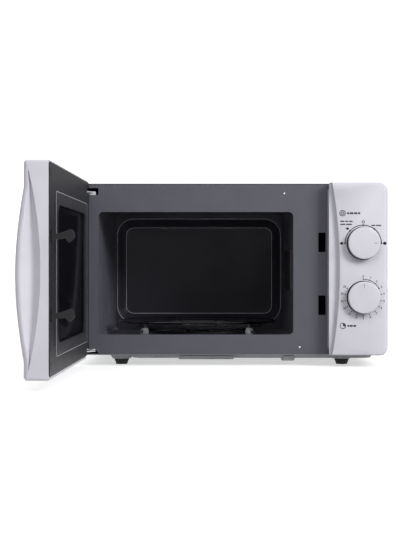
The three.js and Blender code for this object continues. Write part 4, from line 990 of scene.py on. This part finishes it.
def timer_print():
    """The timer's scale: a dot and a numeral for each stop, clockwise from the top."""
    z = DIALS_Z[1]
    marks = []
    for i, minutes in enumerate(MINUTES):
        clock = 20 * i
        marks.append(dot(*around(z, TIMER_ARC, clock), 0.9))
        x, zz = around(z, 29.6 if minutes < 10 else 30.2, clock)
        marks.append(numeral(str(minutes), x, zz, 4.3))
    marks.append(band(z, TIMER_ARC, 0.8, 0, 62, 20))
    clock_x, clock_z = 155.8, z - 40
    marks.append(ring_mark(clock_x, clock_z, 4.4, 1.0))
    marks.append(inked([(clock_x, clock_z)] + arc(clock_x, clock_z, 3.3, -25, 90, 12)))
    marks += words(162, clock_z, (2.6, 4.6, 4.2), 2.6, 0.6)
    return together(*marks)


def control_panel():
    dress("control_panel_moulded", panel_moulding(), "cabinet", "white_shell", WHITE_SHELL, "control_panel")
    dress("power_scale_print", power_print(), "cabinet", "black_plastic", INK)
    dress("timer_scale_print", timer_print(), "cabinet", "black_plastic", INK)
    base_y = spot("power_knob")[1].y
    for name, z, direction in (("power", DIALS_Z[0], 90), ("timer", DIALS_Z[1], 0)):
        turn = dial_turn(direction)
        body = f"{name}_dial"
        cap = moved(knob_cap(), knob_x, base_y, z, turn)
        dress(f"{name}_knob_cap", cap, body, "white_shell", KNOB_WHITE, f"{name}_knob")
        # the black band on the knob's side is painted shade
        skirt = moved(knob_skirt(), knob_x, base_y, z, turn)
        dress(f"{name}_knob_skirt", skirt, body, "black_plastic", BLACK_PLASTIC)
        # a black ring painted as shadow in the recess round the knob
        dress(f"{name}_dial_seal", dial_seal(z), "cabinet", "black_plastic", BLACK_PLASTIC)
        mark = moved(pointer(), knob_x, base_y, z, turn)
        dress(f"{name}_knob_pointer", mark, body, "frame_paint", POINTER_INK)


# ---- Door ----

WINDOW_RADIUS = 16
BULGE_WIDTH, BULGE_PROUD = 52, 10
BULGE_HEIGHT, BULGE_Z = 198, 134
CHOKE_DEPTH = 14
END_RADIUS = 4  # the shell rounds over at its ends by this radius
GRIP_DEPTH = 6
DOOR_WALL = 2.5
HOOK_THICKNESS = 4.4
NOSE_RADIUS = 7.3  # the shell is round about its hinge

door_outside = shell_low.y + BULGE_PROUD
door_inside = choke_high.y
door_right = shell_high.x
PLATE_LEFT = hinge_x - NOSE_RADIUS / 3
window_low, window_high = spot("door_window")


def window_outline(grow, steps=10):
    """The window's opening, grown by this much all round."""
    lip = 5
    return rounded(
        window_low.x + lip - grow, window_low.z + lip - grow,
        window_high.x - lip + grow, window_high.z - lip + grow,
        WINDOW_RADIUS + grow, steps,
    )


def bulge_at(z):
    t = (z - BULGE_Z) / BULGE_HEIGHT + 0.5
    return BULGE_PROUD * sin(pi * t) ** 0.9 if 0 < t < 1 else 0


def shell_section(z):
    """The shell's plan at this height: hinge nose, outer face with its swell, and the gripped edge."""
    inner = -1.9
    nose = NOSE_RADIUS
    end = min(z - shell_low.z, shell_high.z - z)
    turn = END_RADIUS - sqrt(END_RADIUS**2 - (END_RADIUS - min(end, END_RADIUS)) ** 2)
    outside = door_outside + turn
    free = door_right - turn * 0.3
    points = [(hinge_x + nose * 0.35, inner)]
    for x, y in arc(hinge_x, hinge_y, nose, 115, 180, 8):
        points.append((x, min(y, inner)))
    corner_x = hinge_x - nose + 1.5
    points += arc(corner_x + 3, outside + 3, 3, 180, 270, 6)
    swell = bulge_at(z)
    start = free - BULGE_WIDTH
    for i in range(11):
        t = i / 10
        x = start + (BULGE_WIDTH - 6) * t
        points.append((x, outside - swell * sin(pi / 2 * t) ** 2))
    rim = outside - swell
    points += arc(free - 6, rim + 6, 6, 270, 340, 5)[1:]
    share = (z - shell_low.z) / (shell_high.z - shell_low.z)
    arch = sin(pi * min(max(share, 0), 1))
    edge = door_inside - 28 + 17.5 * arch**0.8
    outer = rim + 6
    depth = (GRIP_DEPTH + 4) * arch**0.6
    for i in range(21):
        t = 1 - i / 20
        y = edge + (outer - edge) * t
        points.append((free - depth * sin(pi * t**0.62) ** 1.3, y))
    points.append((free, inner))
    return points


def door_shell():
    """The white moulding: smooth outside, a swelling grip at the free edge with a scoop behind it."""
    low, high = shell_low.z, shell_high.z
    ends = [END_RADIUS * (1 - cos(radians(15 * i))) for i in range(6)]
    steps = 48
    middle = [low + END_RADIUS + (high - low - 2 * END_RADIUS) * i / steps for i in range(steps + 1)]
    heights = [low + end for end in ends] + middle + [high - end for end in reversed(ends)]
    body = loft([[(x, y, z) for x, y in shell_section(z)] for z in heights])
    hollow = block(
        shell_low.x + DOOR_WALL + 1.5, door_right - DOOR_WALL - GRIP_DEPTH - 5,
        door_outside + DOOR_WALL, 0, frame_foot + DOOR_WALL, frame_top - DOOR_WALL,
    )
    window = front(window_outline(0), door_outside - 9, door_outside + DOOR_WALL + 1)
    spring_low, spring_high = spot("latch_spring")
    bar_low = spot("latch_bar")[0]
    channel = block(HOOK_X - 6, HOOK_X + 4, spring_low.y - 1, 0, bar_low.z - 1.5, spring_high.z + 0.5)
    rooms = [bracket_room(z, 11) for z in HINGES_Z]
    return eased(cut(body, hollow, window, channel, *rooms), 1.1, 3, 55)


def bracket_room(z, tall):
    outline = [
        (shell_low.x - 9, hinge_y - 8.5), (hinge_x + 9, hinge_y - 8.5), (hinge_x + 22, hinge_y + 2),
        (hinge_x + 22, 9), (shell_low.x - 9, 9),
    ]
    return plan(outline, z - tall, z + tall)


def framed(outer, inner, radii, edges, y0, y1, ease):
    """A flat ring from y0, its seen face, back to y1. Its corners are (x0, z0, x1, z1), its edges eased."""

    def ring(corners, radius, grow, y):
        x0, z0, x1, z1 = corners
        return upright(rounded(x0 - grow, z0 - grow, x1 + grow, z1 + grow, radius + grow, edges), y)

    step = ease if y1 > y0 else -ease
    rings = [
        ring(outer, radii[0], -ease, y0), ring(outer, radii[0], 0, y0 + step), ring(outer, radii[0], 0, y1),
        ring(inner, radii[1], 0, y1), ring(inner, radii[1], 0, y0 + step), ring(inner, radii[1], ease, y0),
    ]
    return loft(rings, ring=True)


choke = (choke_low.x, choke_low.z, choke_high.x, choke_high.z)


def grown(corners, amount):
    x0, z0, x1, z1 = corners
    return x0 - amount, z0 - amount, x1 + amount, z1 + amount


def door_plate():
    """The painted inner plate: its lugs, the choke channel behind it, and a bead beside the latch."""
    back = door_inside - SHEET
    edges = (PLATE_LEFT, frame_foot, door_right - 1, frame_top)
    sheet = framed(edges, grown(choke, 0.3), (5, 3.3), 8, door_inside, back, 0.25)
    rooms = [bracket_room(z, 5) for z in HINGES_Z]
    hook_slots = [block(HOOK_X - 4, HOOK_X + 4, -9, 1, z - 7, z + 7.9) for z in SLOTS_Z]
    small_slots = [
        block(door_right - 10, door_right - 7.6, -9, 1, z - 4, z + 4)
        for z in (frame_top - 12.5, frame_foot + 12.5)
    ]
    sheet = cut(sheet, *rooms, *hook_slots, *small_slots)
    channel = framed(grown(choke, 2), grown(choke, 1), (5, 4), 8, back + 0.02, back - CHOKE_DEPTH, 0.1)
    bead_x = door_right - 35.5
    bead = framed(
        (bead_x - 0.9, 50, bead_x + 0.9, 218), (bead_x - 0.2, 51, bead_x + 0.2, 217),
        (0.8, 0.15), 5, door_inside + 0.5, back, 0.4,
    )
    lugs = []
    for z, way in ((HINGE_TOP, -1), (HINGE_BOTTOM, 1)):
        low = min(z + way * 5.4, z + way * 7.4)
        outline = [
            (hinge_x - 5, hinge_y - 5), (hinge_x + 18, hinge_y - 5), (hinge_x + 18, door_inside),
            (PLATE_LEFT, door_inside), (hinge_x - 5, hinge_y + 3),
        ]
        eye = plan(disc(hinge_x, hinge_y, 2.6, 24), low - 1, low + 3)
        lugs.append(cut(plan(outline, low, low + 2), eye))
    return together(sheet, channel, bead, *lugs)


def choke_cover():
    """The dark frame over the choke channel, its edges eased so that they catch the light."""
    lip = grown((window_low.x, window_low.z, window_high.x, window_high.z), -5)
    return framed(choke, lip, (3, WINDOW_RADIUS), 10, choke_high.y, choke_low.y, 0.7)


def hook_outline(z, base):
    """A hook: a slim neck that rises to a rounded head with its nose pointing down."""
    tip = spot("latch_bar")[1].y
    neck, head = 3.5, 7.5
    return (
        [(base, z - neck - 2), (tip - 16, z - neck), (tip - 11, z - neck + 0.6)]
        + arc(tip - 7.2, z - head + 1.4, 1.4, 190, 300, 6)
        + [(tip - 2.4, z - head + 3.2)]
        + arc(tip - 1.6, z - 0.5, 1.6, -30, 30, 4)
        + arc(tip - 5.2, z + head - 4, 4, 20, 120, 8)
        + [(tip - 12, z + neck + 1.6), (tip - 18, z + neck - 0.4), (base, z + neck - 2)]
    )


def latch_bar():
    low, high = spot("latch_bar")
    face = door_inside - SHEET - 0.3
    bar_mesh = block(HOOK_X - 5, HOOK_X + 3, face - 4, face, low.z, high.z)
    half = HOOK_THICKNESS / 2
    hooks = [profile(hook_outline(z, face - 1), HOOK_X - half, HOOK_X + half) for z in SLOTS_Z]
    return eased(fused(bar_mesh, *hooks), 0.5, 3)


HOLE_SPARE = 0.3


def dust_shields():
    """A thin black plate across the back of each hook's pocket, with a hole for each plunger: painted
    shadow, so that the parts behind don't show through the slots.
    """
    y1 = spot("latch_housing")[1].y - 0.1
    plates = []
    for z, plungers in ((SLOTS_Z[0], ("primary",)), (SLOTS_Z[1], ("monitor", "secondary"))):
        plate = block(SLOT_RIGHT - SLOT_WIDTH - 0.8, SLOT_RIGHT + 0.8, y1 - 0.6, y1, z - 15.8, z + 15.8)
        for name in plungers:
            low, high = spot(f"{name}_plunger")
            x0, z0, x1, z1 = grown((low.x, low.z, high.x, high.z), HOLE_SPARE)
            plate = cut(plate, block(x0, x1, y1 - 3, y1 + 3, z0, z1))
        plates.append(plate)
    return together(*plates)


def door():
    # black plates behind the hook pockets: painted shadow
    dress("latch_dust_shields", dust_shields(), "cabinet", "black_plastic", SHADE_BLACK_PLASTIC)
    dress("door_shell_moulded", door_shell(), "door", "white_shell", WHITE_SHELL, "door_shell")
    dress("door_plate_painted", door_plate(), "door", "door_paint", DOOR_PAINT, "door_plate")
    dress("choke_cover_moulded", choke_cover(), "door", "black_plastic", CHOKE_PLASTIC, "choke_cover")
    # a thin pale ring at the choke cover's outer edge: painted highlight
    rim = framed(choke, grown(choke, -0.75), (3, 2.3), 10, choke_high.y + 0.06, choke_high.y - 0.4, 0.1)
    dress("choke_cover_highlight", rim, "door", "black_plastic", CHOKE_RIM_HIGHLIGHT)
    for node, ease, glass in (("door_window", 0.4, BLACK_GLASS), ("inner_pane", 0.3, SMOKED_PANE)):
        dress(f"{node}_glossy", eased(copied(node), ease), "door", "black_glass", glass, node)
    dress("latch_bar_moulded", latch_bar(), "latch", "black_plastic", BLACK_PLASTIC, "latch_bar")
    spring = dress("latch_spring_wound", copied("latch_spring"), "door", "steel", DARK_STEEL, "latch_spring")
    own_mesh(spring)
    for name in ("upper", "lower"):
        node = f"hinge_bracket_{name}"
        dress(f"{node}_pressed", eased(copied(node), 0.4), "cabinet", "zinc_sheet", BRIGHT_STEEL, node)


# ---- Turntable ----


def glass_tray():
    low, high = spot("glass_tray")
    r = (high.x - low.x) / 2
    base, thick = 104, 4.5
    points = [(0, 0), (base - 2, 0)] + arc(base - 2, 3, 3, -90, -64, 3)
    points += [(r - 3, 6.6)] + arc(r - 1.4, 8.3, 1.4, -40, 140, 8)
    points += [(r - 4.5, 8.1), (base - 1, thick + 0.4), (base - 5, thick), (0, thick)]
    tray = turned(points, 144)
    return moved(tray, (low.x + high.x) / 2, (low.y + high.y) / 2, low.z)


def turntable():
    dress("glass_tray_pressed", glass_tray(), "turntable", "clear_glass", TRAY_GLASS, "glass_tray")
    # the rollers' finish is white plastic brightened with painted highlight
    black, white = ("black_plastic", BLACK_PLASTIC), ("white_shell", WHEEL_WHITE_AND_HIGHLIGHT)
    moulded = [("roller_ring", "ring", black), ("drive_coupler", "turntable", black)]
    moulded += [(f"roller_{k}", f"wheel_{k}", white) for k in (1, 2, 3)]
    for node, body, finish in moulded:
        dress(f"{node}_moulded", eased(copied(node), 0.5), body, *finish, node)


# ---- Inside the cabinet ----

INSIDE = (
    (ZINC_SHEET, "waveguide capacitor turntable_motor power_shaft timer_shaft timer_bell"),
    (DARK_STEEL, "magnetron transformer_core capacitor_clamp fan_motor"),
    (COPPER, "transformer_primary transformer_secondary"),
    (BLACK_PLASTIC, "thermal_cutout diode fan_shroud fan_blade cord_gland door_screen"),
    # the latch's housing and switches darkened to near-black: painted shade inside the hook slots
    (SHADE_BLACK_PLASTIC, "latch_housing primary_switch monitor_switch secondary_switch"),
    (CREAM_PLASTIC, "filter_board lamp_housing power_selector timer_unit"),
    # the plungers darkened to near-black: painted shade inside the hook slots
    (SHADE_BLACK_PLASTIC, "primary_plunger monitor_plunger secondary_plunger"),
    (CLEAR_GLASS, "lamp"),
    (MICA, "waveguide_cover"),
)


def inside():
    """The pieces whose CAD shape is right keep it, and get their finish."""
    for material, nodes in INSIDE:
        for node in nodes.split():
            mesh = frame["nodes"][node].data
            mesh.materials.clear()
            mesh.materials.append(material)


cabinet()
control_panel()
door()
turntable()
inside()

# ---- Studio ----


def studio_white(name, colour, strength):
    """A pale surface that glows a little, so that it stays even."""
    finish = Finish(name, colour, 0.9)
    finish.set("Base Color", finish.mix(finish.grain(400, 2.0), colour, shaded(colour, 0.99)))
    finish.set("Emission Color", (1, 1, 1, 1))
    finish.set("Emission Strength", strength)
    finish.raised(finish.grain(2, 2.0), 0.01)
    return finish.material


def staged(name, mesh, finish, *unseen):
    """A part of the studio, which isn't seen by these kinds of ray."""
    mesh.transform(HOME)
    mesh.materials.append(finish)
    obj = placed(name, mesh)
    for ray in unseen:
        setattr(obj, f"visible_{ray}", False)


def surroundings():
    """A pale floor, and a white dome a long way off, seen but lighting nothing."""
    ground = plan(rounded(-6000, -6000, 6000, 6000, 3000, 24), -10, 0)
    staged("floor", ground, studio_white("pale_floor", (0.9, 0.9, 0.9, 1), 0.5), "diffuse")
    dome = turned([(0, 8000)] + arc(0, 0, 8000, 80, 10, 8) + [(8000, -20), (0, -20)], 48)
    glow = studio_white("backdrop_white", (1, 1, 1, 1), 1.0)
    staged("backdrop", dome, glow, "diffuse", "glossy", "transmission", "shadow")


SKY_LOW, SKY_HIGH = 0.2, 0.82
LIT_POINT = Vector((0, 0.1, 0.14))


def area(name, x, y, z, width, height, power):
    """A soft light at this place, in metres, that faces the middle of the oven."""
    light = bpy.data.lights.new(name, "AREA")
    light.shape = "RECTANGLE"
    light.size = width
    light.size_y = height
    light.energy = power
    obj = placed(name, light)
    obj.location = (x, y, z)
    obj.rotation_euler = (Vector((x, y, z)) - LIT_POINT).to_track_quat("Z", "Y").to_euler()


def studio():
    """Light from all round that fades towards the ground, and a soft key from the upper right."""
    scene = bpy.context.scene
    world = bpy.data.worlds.new("studio")
    world.use_nodes = True
    nodes, links = world.node_tree.nodes, world.node_tree.links
    background = nodes["Background"]
    background.inputs["Color"].default_value = (1, 1, 1, 1)
    place = nodes.new("ShaderNodeTexCoord")
    parts = nodes.new("ShaderNodeSeparateXYZ")
    fade = nodes.new("ShaderNodeMapRange")
    for key, value in (("From Min", -0.4), ("From Max", 0.9), ("To Min", SKY_LOW), ("To Max", SKY_HIGH)):
        fade.inputs[key].default_value = value
    links.new(place.outputs["Generated"], parts.inputs[0])
    links.new(parts.outputs["Z"], fade.inputs["Value"])
    links.new(fade.outputs[0], background.inputs["Strength"])
    scene.world = world
    scene.view_settings.view_transform = "Standard"
    surroundings()
    area("key", 1.5, -1.7, 1.1, 0.9, 0.8, 34)
    area("fill", -0.3, -2.0, 1.6, 1.0, 1.0, 8)


FOCAL_LENGTH = 77.53
LENS_SHIFT = (-0.02685, -0.00556)
EYE = (-21.6, -1670, 142.6)


def camera():
    """Level, straight on to the front, as far back as the oven's perspective asks for."""
    lens = bpy.data.cameras.new("camera")
    lens.sensor_width = 36
    lens.lens = FOCAL_LENGTH
    lens.shift_x, lens.shift_y = LENS_SHIFT
    obj = placed("camera", lens)
    obj.location = HOME @ Vector(EYE)
    obj.rotation_euler = (pi / 2, 0, 0)
    bpy.context.scene.camera = obj


studio()
camera()
